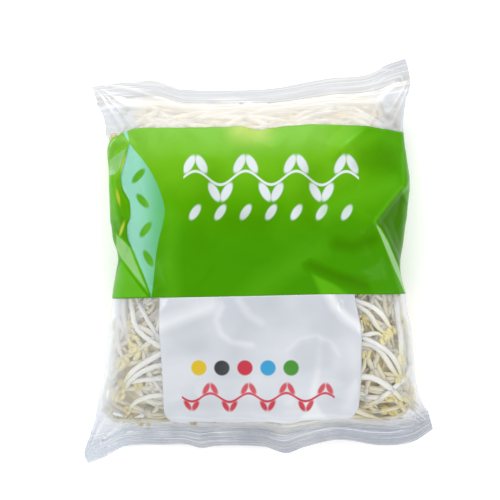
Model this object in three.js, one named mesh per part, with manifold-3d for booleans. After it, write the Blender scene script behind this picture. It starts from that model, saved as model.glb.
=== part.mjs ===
// A sealed packet of mung bean sprouts lying on its back: a pillow of clear film with a flat
// sealed strip and two ears at each end, a printed band that runs right round it, a printed
// panel on its front, and the tangle of sprouts that fills it, with a few of them loose in its
// corners. Millimetres, +Z up. X runs across the packet and Y from its bottom seal to its top
// seal. The origin is on the surface it lies on, under the middle of the packet.
import * as THREE from "three";
import { mergeVertices } from "three/addons/utils/BufferGeometryUtils.js";
import Module from "manifold-3d";

const wasm = await Module();
wasm.setup();

// Driving dimensions of the packet
const HALF_WIDTH = 121.5; // half the width across the bottom ears
const THICKNESS = 58; // height of the crown above the surface
const SIDE_HEIGHT = 22; // where the front and the back meet at the sides
const SEAL_WIDTH = 11;
const WALL = 0.8; // the film, drawn far thicker than life so that it is a solid
const VENT_RADIUS = 1.5;
const VENT_PLACES = [-45, -15, 15, 45]; // across the back, just above the band

// How the pillow swells
const FULL_ALONG = 2.9; // exponents of its fullness from seal to seal
const FULL_ROUND = 0.62;
const SIDE_ROUND = 0.86; // exponents of its section: at the sides, the front and the back
const FRONT_ROUND = 0.82;
const BACK_ROUND = 0.5;
const BACK_SAG = 9; // how far the back would hang below the surface that flattens it
const END_DROP = 9; // how much lower its sides lie at both ends
const END_DROP_REACH = 40;
const END_RIPPLE = 1.6; // waves of the sealed ends: their height and their count
const END_RIPPLES = 7.3;

// Driving dimensions of the print
const BAND_LOW = -25; // lower and upper edge of the coloured band
const BAND_HIGH = 90;
const PANEL_LOW = -106;
const PANEL_HALF_WIDTH = 67;
const PANEL_CORNER = 9;
const INK = 0.5; // the ink, drawn far thicker than life
const INK_GAP = 0.3; // clearance between the ink and the film
const PANEL_GAP = 0.6; // the panel's facets don't follow the film's, so it needs more
const PRINT_GAP = 1.3; // between the panel and the band

// Driving dimensions of a sprout and of the tangle
const STEM_RADIUS = 1.6;
const ROOT_RADIUS = 0.45;
const COTYLEDON_LENGTH = 9;
const COTYLEDON_RADIUS = 2.1;
const SHORTEST_SPROUT = 52;
const LONGEST_SPROUT = 76;
const CORE_DEPTH = 6.4; // from the film's inner face to the packed middle of the tangle
const SPROUT_RISE = 2.9; // how far a sprout arches out of the core, from ends 0.6 inside it
const SPROUT_SINK = 0.6;
const FRONT_SPROUTS = 24;
const BACK_SPROUTS = 10;
const SIDE_ROOM = 17; // kept free between a sprout of the tangle and the packet's sides
const END_ROOM = 8;

// Stations along the packet, measured on the straight middle of each seal
const BOTTOM_END = -129.5;
const TOP_END = 120.5;
const BOTTOM_SEAL = BOTTOM_END + SEAL_WIDTH;
const TOP_SEAL = TOP_END - SEAL_WIDTH;
const EDGE_REACH = 34; // how far the waves of an end edge reach into the packet

// Outlines as [place, size] points. Sides: station and share of HALF_WIDTH.
const LEFT_SIDE = [
  [-130, 1.0], [-112, 0.953], [-96, 0.915], [-80, 0.887], [-52, 0.866], [-22, 0.84],
  [-6, 0.812], [2, 0.8], [17, 0.838], [36, 0.853], [66, 0.864], [88, 0.872], [100, 0.89],
  [109, 0.925], [121, 0.95],
];
const RIGHT_SIDE = [
  [-130, 1.0], [-114, 0.97], [-102, 0.93], [-90, 0.9], [-76, 0.898], [-50, 0.876],
  [-24, 0.848], [-6, 0.82], [14, 0.842], [34, 0.853], [56, 0.864], [80, 0.838],
  [96, 0.84], [110, 0.862], [121, 0.85],
];
// End edges: share of the half width from left to right, and how far the edge stands out.
const TOP_EDGE = [
  [-1, 2.5], [-0.7, 5.5], [-0.58, 5], [-0.46, 0.6], [-0.3, 0], [0.04, 0], [0.2, 1.4],
  [0.36, 5], [0.52, 8.4], [0.76, 11], [0.9, 18.5], [1, 22.3],
];
const BOTTOM_EDGE = [
  [-1, 13.3], [-0.9, 8], [-0.78, 0], [-0.45, -0.8], [0.02, 0.6], [0.15, 4.8], [0.25, 0.6],
  [0.45, -4], [0.7, -1], [0.88, -3.5], [1, -12],
];

const CLEAR_BLUE = 0xd5dce6;
const CLEAR_OPACITY = 0.35;
const GREEN = 0x4fa40a;
const COOL_WHITE = 0xd9dfe8;
const CREAM = 0xe9e6d4;
const PALE_YELLOW = 0xd9cf7c;
const FILM_ROUGHNESS = 0.15;
const INK_ROUGHNESS = 0.3;
const SPROUT_ROUGHNESS = 0.4;

// A smooth curve through sorted [place, size] points, level past both ends.
function curveAt(points, place) {
  const last = points.length - 1;
  if (place <= points[0][0]) return points[0][1];
  if (place >= points[last][0]) return points[last][1];
  let i = 0;
  while (points[i + 1][0] < place) i += 1;
  const before = points[Math.max(i - 1, 0)];
  const [x1, y1] = points[i];
  const [x2, y2] = points[i + 1];
  const after = points[Math.min(i + 2, last)];
  const share = (place - x1) / (x2 - x1);
  const slope1 = ((y2 - before[1]) / (x2 - before[0])) * (x2 - x1);
  const slope2 = ((after[1] - y1) / (after[0] - x1)) * (x2 - x1);
  const s2 = share * share;
  const s3 = s2 * share;
  return (
    y1 * (2 * s3 - 3 * s2 + 1) + slope1 * (s3 - 2 * s2 + share) +
    y2 * (3 * s2 - 2 * s3) + slope2 * (s3 - s2)
  );
}

function smoothStep(from, to, x) {
  const share = Math.min(Math.max((x - from) / (to - from), 0), 1);
  return share * share * (3 - 2 * share);
}

// A repeatable random draw between 0 and 1.
function seededDraw(seed) {
  let state = seed;
  return () => {
    state = (state + 0x6d2b79f5) | 0;
    let t = Math.imul(state ^ (state >>> 15), 1 | state);
    t = (t + Math.imul(t ^ (t >>> 7), 61 | t)) ^ t;
    return ((t ^ (t >>> 14)) >>> 0) / 4294967296;
  };
}

const leftAt = (station) => -HALF_WIDTH * curveAt(LEFT_SIDE, station);
const rightAt = (station) => HALF_WIDTH * curveAt(RIGHT_SIDE, station);

// How full the pillow is at a station: 0 from each seal outwards, 1 over its middle.
function fullness(station) {
  const middle = (TOP_SEAL + BOTTOM_SEAL) / 2;
  const reach = (TOP_SEAL - BOTTOM_SEAL) / 2;
  const share = Math.min(Math.abs(station - middle) / reach, 1);
  return Math.pow(1 - Math.pow(share, FULL_ALONG), FULL_ROUND);
}

// Height of the line where front and back meet: it sinks towards both end edges.
function sideHeight(station, across) {
  const out = smoothStep(BOTTOM_SEAL + END_DROP_REACH, BOTTOM_END, station) +
    smoothStep(TOP_SEAL - END_DROP_REACH, TOP_END, station);
  const ripple = END_RIPPLE * Math.sin(END_RIPPLES * across + 0.4) * out;
  return SIDE_HEIGHT - END_DROP * out + ripple;
}

// The inner face of the film. turn goes once round the packet: 0 is its right side, a quarter
// turn its crown and half a turn its left side. station runs along the packet.
function innerFace(turn, station) {
  const c = Math.cos(turn);
  const s = Math.sin(turn);
  const across = Math.sign(c) * Math.pow(Math.abs(c), SIDE_ROUND);
  const left = leftAt(station);
  const right = rightAt(station);
  const x = (left + right) / 2 + across * (right - left) / 2;
  const topShare = smoothStep(TOP_END - EDGE_REACH, TOP_END, station);
  const bottomShare = smoothStep(BOTTOM_END + EDGE_REACH, BOTTOM_END, station);
  const y = station + topShare * curveAt(TOP_EDGE, across) -
    bottomShare * curveAt(BOTTOM_EDGE, across);
  const middle = sideHeight(station, across);
  const full = fullness(station);
  const bulge = Math.pow(Math.abs(s), s > 0 ? FRONT_ROUND : BACK_ROUND);
  const floor = WALL + skinUnder(station);
  const rise = s > 0
    ? (THICKNESS - WALL - SIDE_HEIGHT) * full * bulge
    : -(SIDE_HEIGHT + BACK_SAG) * full * bulge;
  const z = Math.max(middle + rise, floor);
  return new THREE.Vector3(x, y, z);
}

// What the band needs under the packet's back, where the ink is the lowest thing.
function skinUnder(station) {
  return station > BAND_LOW - 1 && station < BAND_HIGH + 1 ? INK + INK_GAP : 0;
}

// The film's surface moved outwards by distance, along its normal.
function filmPoint(turn, station, distance) {
  const d = 1e-3;
  const round = innerFace(turn + d, station).sub(innerFace(turn - d, station));
  const along = innerFace(turn, station + 0.05).sub(innerFace(turn, station - 0.05));
  along.z = Math.abs(along.z) > 0.5 ? 0 : along.z;
  const normal = along.cross(round).normalize();
  return innerFace(turn, station).addScaledVector(normal, distance);
}

// The turn at which the front (side 1) or the back (side -1) is at a given x.
function turnAt(x, station, side) {
  const left = leftAt(station);
  const right = rightAt(station);
  const across = (2 * x - left - right) / (right - left);
  const limited = Math.min(Math.max(across, -0.999), 0.999);
  const c = Math.sign(limited) * Math.pow(Math.abs(limited), 1 / SIDE_ROUND);
  return side > 0 ? Math.acos(c) : 2 * Math.PI - Math.acos(c);
}

function geometryOf(points, faces) {
  const g = new THREE.BufferGeometry();
  g.setAttribute("position", new THREE.Float32BufferAttribute(points.flatMap((p) => p.toArray()), 3));
  g.setIndex(faces);
  return g;
}

// A closed skin through rings of equal length, with each end closed by strips between the
// ring's front half and its back half.
function skinOverRings(rings) {
  const count = rings[0].length;
  const faces = [];
  for (let r = 0; r + 1 < rings.length; r += 1) {
    for (let i = 0; i < count; i += 1) {
      const j = (i + 1) % count;
      const a = r * count;
      const b = a + count;
      faces.push(a + i, b + j, a + j, a + i, b + i, b + j);
    }
  }
  const top = (rings.length - 1) * count;
  for (let i = 0; i < count / 2; i += 1) {
    const j = (count - i) % count;
    const k = (count - i - 1) % count;
    for (const [base, flip] of [[0, true], [top, false]]) {
      const corners = [base + i, base + j, base + k, base + i + 1];
      if (flip) corners.reverse();
      const [p, q, r, s] = corners;
      if (i > 0) faces.push(flip ? q : p, flip ? r : q, flip ? s : r);
      if (i + 1 < count / 2) faces.push(flip ? q : p, flip ? s : r, flip ? p : s);
    }
  }
  return geometryOf(rings.flat(), faces);
}

// manifold-3d joins and cuts closed meshes.
function solidOf(geometry) {
  const g = geometry.clone();
  g.deleteAttribute("normal");
  g.deleteAttribute("uv");
  const merged = mergeVertices(g, 1e-4);
  return new wasm.Manifold(new wasm.Mesh({
    numProp: 3,
    vertProperties: new Float32Array(merged.attributes.position.array),
    triVerts: new Uint32Array(merged.index.array),
  }));
}

function geometryOfSolid(solid) {
  const mesh = solid.getMesh();
  const g = new THREE.BufferGeometry();
  g.setAttribute("position", new THREE.BufferAttribute(new Float32Array(mesh.vertProperties), 3));
  g.setIndex(new THREE.BufferAttribute(new Uint32Array(mesh.triVerts), 1));
  return g;
}

function namedMesh(name, geometry, color, roughness) {
  const flat = geometry.index ? geometry.toNonIndexed() : geometry;
  flat.computeVertexNormals();
  const material = new THREE.MeshStandardMaterial({ color, roughness, metalness: 0 });
  const mesh = new THREE.Mesh(flat, material);
  mesh.name = name;
  return mesh;
}

function stationsBetween(from, to, steps) {
  return Array.from({ length: steps + 1 }, (_, i) => from + (to - from) * i / steps);
}

function ringAt(station, distance, sides) {
  return Array.from({ length: sides }, (_, i) =>
    filmPoint(2 * Math.PI * i / sides, station, distance));
}

// The film: a tube that is sealed flat at both ends, with small vent holes in its back.
const AROUND = 40;
const BAND_STATIONS = stationsBetween(BAND_LOW, BAND_HIGH, 9);

function filmStations(low, high) {
  return [
    ...stationsBetween(low, BAND_LOW - 1, 11),
    BAND_LOW - 0.99, ...BAND_STATIONS, BAND_HIGH + 0.99,
    ...stationsBetween(BAND_HIGH + 1, high, 5),
  ];
}

function makeFilm() {
  const outer = skinOverRings(
    filmStations(BOTTOM_END, TOP_END).map((s) => ringAt(s, WALL, AROUND)));
  const inner = skinOverRings(
    filmStations(BOTTOM_SEAL + 1, TOP_SEAL - 1).map((s) => ringAt(s, 0, AROUND)));
  let solid = solidOf(outer).subtract(solidOf(inner));
  for (const x of VENT_PLACES) {
    const vent = new THREE.CylinderGeometry(VENT_RADIUS, VENT_RADIUS, 6, 8);
    vent.rotateX(Math.PI / 2);
    vent.translate(x, BAND_HIGH + 6, 1);
    solid = solid.subtract(solidOf(vent));
  }
  const mesh = namedMesh("film", geometryOfSolid(solid), CLEAR_BLUE, FILM_ROUGHNESS);
  mesh.material.transparent = true;
  mesh.material.opacity = CLEAR_OPACITY;
  return mesh;
}

// The printed band: a thin sleeve of ink right round the film.
function makeBand() {
  const near = BAND_STATIONS.map((s) => ringAt(s, WALL + INK_GAP, AROUND));
  const far = BAND_STATIONS.map((s) => ringAt(s, WALL + INK_GAP + INK, AROUND));
  const faces = [];
  const layer = BAND_STATIONS.length * AROUND;
  const last = layer - AROUND;
  for (let i = 0; i < AROUND; i += 1) {
    const j = (i + 1) % AROUND;
    for (let a = 0; a < last; a += AROUND) {
      const b = a + AROUND;
      faces.push(a + i, a + j, b + j, a + i, b + j, b + i);
      const [c, d] = [a + layer, b + layer];
      faces.push(c + i, d + j, c + j, c + i, d + i, d + j);
    }
    faces.push(i, layer + j, j, i, layer + i, layer + j);
    const [e, f] = [last, last + layer];
    faces.push(e + i, e + j, f + j, e + i, f + j, f + i);
  }
  const sleeve = geometryOf([...near, ...far].flat(), faces);
  return namedMesh("printed_band", sleeve, GREEN, INK_ROUGHNESS);
}

// The printed panel: a sheet of ink on the front, below the band, with round lower corners.
function makePanel() {
  const rows = stationsBetween(PANEL_LOW, BAND_LOW - PRINT_GAP, 10);
  const columns = 14;
  const gap = WALL + PANEL_GAP;
  const layers = [gap, gap + INK].map((distance) => rows.map((s) => {
    const short = Math.max(PANEL_CORNER - (s - PANEL_LOW), 0);
    const half = PANEL_HALF_WIDTH - PANEL_CORNER +
      Math.sqrt(PANEL_CORNER ** 2 - short ** 2) + (short === PANEL_CORNER ? 0.5 : 0);
    return stationsBetween(-half, half, columns).map((x) =>
      filmPoint(turnAt(x, s, 1), s, distance));
  }));
  const wide = columns + 1;
  const layer = rows.length * wide;
  const faces = [];
  const quad = (p, q, r, t) => faces.push(p, q, r, p, r, t);
  for (let r = 0; r + 1 < rows.length; r += 1) {
    for (let c = 0; c < columns; c += 1) {
      const a = r * wide + c;
      quad(a, a + wide, a + wide + 1, a + 1);
      quad(layer + a, layer + a + 1, layer + a + wide + 1, layer + a + wide);
    }
    const left = r * wide;
    const right = left + columns;
    quad(left, left + layer, left + wide + layer, left + wide);
    quad(right, right + wide, right + wide + layer, right + layer);
  }
  for (let c = 0; c < columns; c += 1) {
    const high = (rows.length - 1) * wide + c;
    quad(c, c + 1, c + 1 + layer, c + layer);
    quad(high, high + layer, high + 1 + layer, high + 1);
  }
  return namedMesh("printed_panel", geometryOf(layers.flat(2), faces), COOL_WHITE, INK_ROUGHNESS);
}

// A closed tube along a line of points, with one radius at each point and a tip at each end.
function tubeAlong(line, radii, sides) {
  const points = [];
  const faces = [];
  line.forEach((p, i) => {
    const before = line[Math.max(i - 1, 0)];
    const after = line[Math.min(i + 1, line.length - 1)];
    const forward = after.clone().sub(before).normalize();
    const side = new THREE.Vector3(0, 0, 1).cross(forward).normalize();
    const up = forward.clone().cross(side);
    for (let k = 0; k < sides; k += 1) {
      const a = 2 * Math.PI * k / sides;
      points.push(p.clone().addScaledVector(side, radii[i] * Math.cos(a))
        .addScaledVector(up, radii[i] * Math.sin(a)));
    }
  });
  const last = (line.length - 1) * sides;
  for (let k = 0; k < sides; k += 1) {
    const m = (k + 1) % sides;
    for (let a = 0; a < last; a += sides) {
      const b = a + sides;
      faces.push(a + k, a + m, b + m, a + k, b + m, b + k);
    }
    if (k > 0 && m > 0) {
      faces.push(0, m, k, last, last + k, last + m);
    }
  }
  return geometryOf(points, faces);
}

// The shares along a sprout, from its root tip to where its hook meets the seed leaves.
const STEM_SHARES = [0, 0.15, 0.4, 0.64, 0.83, 0.93, 1];
const STEM_SIDES = 5;
const SEED_LEAF_SIDES = 4;

// One whole sprout on a line of points: root and stem, and two seed leaves side by side that
// lie along the given direction from the line's last point.
function sproutOn(line) {
  const radii = STEM_SHARES.map((share) =>
    ROOT_RADIUS + (STEM_RADIUS - ROOT_RADIUS) * Math.min(share / 0.4, 1));
  let solid = solidOf(tubeAlong(line, radii, STEM_SIDES));
  const tip = line[line.length - 1];
  const along = tip.clone().sub(line[line.length - 2]).normalize();
  const across = new THREE.Vector3(0, 0, 1).cross(along).normalize();
  for (const side of [-1, 1]) {
    const leaf = along.clone().addScaledVector(across, 0.22 * side).normalize();
    const start = tip.clone().addScaledVector(along, -1.5).addScaledVector(across, 0.9 * side);
    const seedLeaf = [0, 0.3, 0.75, 1].map((share) =>
      start.clone().addScaledVector(leaf, share * COTYLEDON_LENGTH));
    const sizes = [0.35, 1, 0.9, 0.35].map((size) => size * COTYLEDON_RADIUS);
    solid = solid.add(solidOf(tubeAlong(seedLeaf, sizes, SEED_LEAF_SIDES)));
  }
  return solid;
}

// A sprout's path seen from above: it curves gently and turns hard in its last stretch.
function sproutPath(draw) {
  const length = SHORTEST_SPROUT + (LONGEST_SPROUT - SHORTEST_SPROUT) * draw();
  const bend = (draw() - 0.5) * 0.02;
  const hook = (draw() < 0.5 ? -1 : 1) * (0.6 + 1.2 * draw());
  let heading = 2 * Math.PI * draw();
  let place = [0, 0];
  const path = [place];
  for (let i = 1; i < STEM_SHARES.length; i += 1) {
    const step = (STEM_SHARES[i] - STEM_SHARES[i - 1]) * length;
    heading += bend * step + (STEM_SHARES[i] > 0.85 ? hook / 3 : 0);
    place = [place[0] + step * Math.cos(heading), place[1] + step * Math.sin(heading)];
    path.push(place);
  }
  return path;
}

// The packed middle of the tangle: the packet's inner face drawn in on all sides.
const CORE_LOW = BOTTOM_SEAL + 17;
const CORE_HIGH = TOP_SEAL - 11;
const CORE_SIDE_GAP = 11;

function corePoint(turn, station) {
  const face = innerFace(turn, station);
  const left = leftAt(station);
  const right = rightAt(station);
  const half = (right - left) / 2;
  const x = (left + right) / 2 + (face.x - (left + right) / 2) * (half - CORE_SIDE_GAP) / half;
  const crown = innerFace(Math.PI / 2, station).z;
  const base = innerFace(-Math.PI / 2, station).z;
  const middle = (crown + base) / 2;
  const share = Math.max((crown - base) / 2 - CORE_DEPTH, 1) / ((crown - base) / 2);
  return new THREE.Vector3(x, face.y, middle + (face.z - middle) * share);
}

// Sprouts lie over the core, front and back. Each one is sunk in it at both ends.
function makeTangle() {
  const draw = seededDraw(20);
  const sides = 22;
  const rings = stationsBetween(CORE_LOW, CORE_HIGH, 11).map((s) =>
    Array.from({ length: sides }, (_, i) => corePoint(2 * Math.PI * i / sides, s)));
  let solid = solidOf(skinOverRings(rings));
  for (let made = 0; made < FRONT_SPROUTS + BACK_SPROUTS;) {
    const side = made < FRONT_SPROUTS ? 1 : -1;
    const path = sproutPath(draw);
    const startX = (draw() - 0.5) * 1.7 * HALF_WIDTH;
    const startY = CORE_LOW + draw() * (CORE_HIGH - CORE_LOW);
    const inside = path.every(([x, y]) => {
      const station = startY + y;
      return station > CORE_LOW + END_ROOM && station < CORE_HIGH - END_ROOM &&
        startX + x > leftAt(station) + SIDE_ROOM && startX + x < rightAt(station) - SIDE_ROOM;
    });
    if (!inside) continue;
    const line = path.map(([x, y], i) => {
      const arch = Math.pow(Math.sin(Math.PI * STEM_SHARES[i]), 0.7);
      const depth = CORE_DEPTH + SPROUT_SINK - SPROUT_RISE * arch;
      const station = startY + y;
      return filmPoint(turnAt(startX + x, station, side), station, -depth);
    });
    solid = solid.add(sproutOn(line));
    made += 1;
  }
  // Crossing stems can seal a pocket of air, which is left filled.
  const [filled] = solid.decompose().sort((a, b) => b.volume() - a.volume());
  return namedMesh("sprout_tangle", geometryOfSolid(filled), CREAM, SPROUT_ROUGHNESS);
}

// Loose sprouts in the corners of the packet, as [x, station] points from root to hook.
const LOOSE_SPROUTS = {
  sprout_low_right: [[58, -110], [72, -111], [84, -111], [94, -110], [101, -107.5], [104, -102.5]],
  sprout_low_left: [[-52, -111], [-66, -112], [-80, -112], [-92, -111.5], [-101, -109], [-104.5, -103.5]],
  sprout_high_right: [[34, 104], [48, 105], [62, 105.5], [76, 105.5], [87, 105.5], [94, 103]],
  sprout_high_left: [[-30, 104], [-44, 105], [-60, 105.5], [-74, 105.5], [-86, 105.5], [-93, 104]],
};

function makeLooseSprouts() {
  return Object.entries(LOOSE_SPROUTS).map(([name, route]) => {
    const spots = route.map(([x, station]) => {
      const front = innerFace(turnAt(x, station, 1), station);
      const back = innerFace(turnAt(x, station, -1), station);
      return front.add(back).multiplyScalar(0.5);
    });
    const curve = new THREE.CatmullRomCurve3(spots);
    const line = STEM_SHARES.map((share) => curve.getPointAt(share));
    return namedMesh(name, geometryOfSolid(sproutOn(line)), PALE_YELLOW, SPROUT_ROUGHNESS);
  });
}

const group = new THREE.Group();
group.add(makeFilm(), makeBand(), makePanel(), makeTangle(), ...makeLooseSprouts());

export default group;
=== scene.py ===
# %% [markdown]
# A sealed packet of mung bean sprouts
#
# The packet is a tube of clear film, sealed flat at both ends and swollen by the sprouts in it.
# A green band is printed right round it and a white panel on its front. Every piece here is a
# surface worked out with numpy: two parameters go in as whole arrays and points come out. That
# way one formula for the film serves the film, the ink that lies on it and the sprouts under it,
# so they fit each other exactly.

# %% Load the frame
import math
import bpy
import numpy as np
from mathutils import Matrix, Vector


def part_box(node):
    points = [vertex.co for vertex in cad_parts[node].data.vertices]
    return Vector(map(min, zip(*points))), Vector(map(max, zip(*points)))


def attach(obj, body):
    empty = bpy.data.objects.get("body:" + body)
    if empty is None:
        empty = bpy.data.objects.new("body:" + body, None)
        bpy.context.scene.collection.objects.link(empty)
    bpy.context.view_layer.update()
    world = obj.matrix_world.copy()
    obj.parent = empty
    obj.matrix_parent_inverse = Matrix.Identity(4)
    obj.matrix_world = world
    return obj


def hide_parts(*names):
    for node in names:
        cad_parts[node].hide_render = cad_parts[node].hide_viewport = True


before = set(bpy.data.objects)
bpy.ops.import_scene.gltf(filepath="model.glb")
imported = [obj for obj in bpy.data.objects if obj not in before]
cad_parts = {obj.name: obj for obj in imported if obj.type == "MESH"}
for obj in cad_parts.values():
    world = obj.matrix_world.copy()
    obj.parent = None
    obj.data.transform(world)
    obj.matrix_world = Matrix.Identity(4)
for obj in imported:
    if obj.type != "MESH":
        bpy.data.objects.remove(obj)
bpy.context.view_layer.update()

MM = 0.001
FILM_LOW, FILM_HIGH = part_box("film")
print("film from", tuple(round(v, 4) for v in FILM_LOW), "to", tuple(round(v, 4) for v in FILM_HIGH))

# %% [markdown]
# The shape of the packet
#
# A filled pillow packet is widest at its sealed ends, where the tube lies flat, and draws in at
# its middle, where the same film has to go round the filling. Its outline is given by a few
# points on each side and each end, and smooth curves join them. Modelling a flat bag and
# inflating it would also work, but then the outline could not be set against the real one.

# %% Sizes of the packet, in millimetres
HALF_WIDTH = 121.5
THICKNESS = FILM_HIGH.z / MM
SIDE_HEIGHT = 22.0
WALL = 0.8
SEAL_WIDTH = 11.0
BOTTOM_END, TOP_END = -129.5, 120.5
MIDDLE_STATION = -8.0
BOTTOM_SEAL, TOP_SEAL = BOTTOM_END + SEAL_WIDTH, TOP_END - SEAL_WIDTH
EDGE_REACH = 34.0
FULL_ALONG, FULL_ROUND = 2.9, 0.62
SIDE_ROUND, FRONT_ROUND, BACK_ROUND = 0.86, 0.82, 0.5
BACK_SAG = 9.0
END_DROP, END_DROP_REACH = 9.0, 40.0
END_RIPPLE, END_RIPPLES = 1.6, 7.3

# Outlines as (place, size) points. Sides: station along the packet and share of HALF_WIDTH.
LEFT_SIDE = [
    (-130, 0.985), (-123, 1.008), (-112, 0.955), (-96, 0.912), (-80, 0.88), (-52, 0.858), (-22, 0.827),
    (-6, 0.808), (2, 0.797), (17, 0.834), (36, 0.843), (66, 0.853), (88, 0.867), (100, 0.89),
    (109, 0.93), (121, 0.966),
]
RIGHT_SIDE = [
    (-130, 1.014), (-114, 0.985), (-102, 0.948), (-90, 0.908), (-76, 0.898), (-50, 0.874),
    (-24, 0.835), (-6, 0.8), (14, 0.828), (34, 0.849), (56, 0.862), (80, 0.838),
    (94, 0.834), (102, 0.85), (109, 0.88), (121, 0.852),
]
# End edges: share of the half width from left to right, and how far the edge stands out.
TOP_EDGE = [
    (-1, 3.2), (-0.72, 6.2), (-0.6, 6.6), (-0.46, 1.5), (-0.34, 0.7), (0.04, 0.6), (0.2, 2),
    (0.36, 5.5), (0.52, 8.9), (0.76, 11.5), (0.9, 18.8), (1, 22.3),
]
BOTTOM_EDGE = [
    (-1, 13.3), (-0.9, 8.6), (-0.78, 0.8), (-0.5, 0.2), (-0.42, 0.5), (-0.34, 2.8), (-0.26, 1.4),
    (0.02, 1.4), (0.15, 5.8), (0.25, 1.8), (0.45, -3), (0.7, 0.6), (0.88, -2), (1, -11),
]
size = (2 * HALF_WIDTH, TOP_END - BOTTOM_END, round(THICKNESS, 1))
print("the packet's plain size:", size, "mm")

# %% Smooth curves and steps
def curve_at(points, place):
    """Smooth curve through sorted points: between two of them a cubic whose slope at each is
    that of the line from the point before it to the point after it, and level past the ends."""
    xs, ys = np.array(points, float).T
    before = np.maximum(np.arange(len(xs)) - 1, 0)
    after = np.minimum(np.arange(len(xs)) + 1, len(xs) - 1)
    slopes = (ys[after] - ys[before]) / (xs[after] - xs[before])
    place = np.clip(place, xs[0], xs[-1])
    i = np.clip(np.searchsorted(xs, place, side="right") - 1, 0, len(xs) - 2)
    width = xs[i + 1] - xs[i]
    t = (place - xs[i]) / width
    return (ys[i] * (2 * t**3 - 3 * t**2 + 1) + slopes[i] * width * (t**3 - 2 * t**2 + t)
            + ys[i + 1] * (3 * t**2 - 2 * t**3) + slopes[i + 1] * width * (t**3 - t**2))


def smooth_step(start, end, x):
    """0 before start, 1 past end, and 3t^2 - 2t^3 between them, t being the share of the way."""
    t = np.clip((x - start) / (end - start), 0, 1)
    return t * t * (3 - 2 * t)


middle_width = HALF_WIDTH * (curve_at(LEFT_SIDE, MIDDLE_STATION) + curve_at(RIGHT_SIDE, MIDDLE_STATION))
print("width at the middle:", round(float(middle_width), 1), "mm")

# %% [markdown]
# The plain surface of the film
#
# The film is a tube, so its two parameters are a turn round it and a station along it. Each
# section is a rounded lens: its width comes from the outlines, its height from how full the
# packet is at that station. The floor cuts the lens off flat, because the packet lies on it.

# %% The film's plain surface
def fullness(station):
    """(1 - t^a)^b, where t is the distance from the packet's middle as a share of the way to
    a seal: 1 over the middle, falling off to 0 at both seals and staying 0 beyond them."""
    t = np.abs(station - (TOP_SEAL + BOTTOM_SEAL) / 2) / ((TOP_SEAL - BOTTOM_SEAL) / 2)
    return (1 - np.minimum(t, 1) ** FULL_ALONG) ** FULL_ROUND


def side_height(station, across):
    """The height where front and back meet: level, sinking and rippling towards both ends."""
    out = (smooth_step(BOTTOM_SEAL + END_DROP_REACH, BOTTOM_END, station)
           + smooth_step(TOP_SEAL - END_DROP_REACH, TOP_END, station))
    return SIDE_HEIGHT - END_DROP * out + END_RIPPLE * np.sin(END_RIPPLES * across + 0.4) * out


def outline_at(station):
    """The middle of the packet's width at a station, and half of that width."""
    left = -HALF_WIDTH * curve_at(LEFT_SIDE, station)
    right = HALF_WIDTH * curve_at(RIGHT_SIDE, station)
    return (left + right) / 2, (right - left) / 2


def end_shift(station, across):
    """How far the waves of the end edges move a point along the packet."""
    top = smooth_step(TOP_END - EDGE_REACH, TOP_END, station) * curve_at(TOP_EDGE, across)
    bottom = smooth_step(BOTTOM_END + EDGE_REACH, BOTTOM_END, station) * curve_at(BOTTOM_EDGE, across)
    return top - bottom


def across_at(turn):
    """The place across the packet, from -1 at its left side to 1 at its right: the cosine of
    the turn to a power."""
    c = np.cos(turn)
    return np.sign(c) * np.abs(c) ** SIDE_ROUND


def plain_face(turn, station):
    """A rounded lens section: x is the place across the packet times the half width, and z is
    the side height plus the sine of the turn to a power, times the bulge of that side."""
    s = np.sin(turn)
    across = across_at(turn)
    middle, half = outline_at(station)
    full = fullness(station)
    front = (THICKNESS - WALL - SIDE_HEIGHT) * full * np.abs(s) ** FRONT_ROUND
    back = -(SIDE_HEIGHT + BACK_SAG) * full * np.abs(s) ** BACK_ROUND
    z = side_height(station, across) + np.where(s > 0, front, back)
    y = station + end_shift(station, across)
    return np.stack([middle + across * half, y, np.maximum(z, WALL)], axis=-1)


def turn_at(x, station, side=1):
    """The turn at which the front (side 1) or the back (side -1) has a given x."""
    middle, half = outline_at(station)
    across = np.clip((x - middle) / half, -0.9995, 0.9995)
    angle = np.arccos(np.sign(across) * np.abs(across) ** (1 / SIDE_ROUND))
    return angle if side > 0 else 2 * np.pi - angle


crown = plain_face(np.pi / 2, np.array(MIDDLE_STATION))
print("plain crown height:", round(float(crown[2]), 2), "mm")

# %% [markdown]
# Folds and dents
#
# Film can't stretch, so where the packet draws in, the spare film folds. It bends in one
# direction at a time, which is why crumpled film is made of nearly flat patches that meet in
# ridges. A fold here is a tent along a line: straight slopes on both sides, each with its own
# reach. A facet is a dent with flat sides, and folds fan out of each corner. All of them are read
# off plan coordinates, so that film and ink dent together. A cloth simulation would fold
# somewhere else on every small change, and here the folds have to lie where the real ones do.

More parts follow.
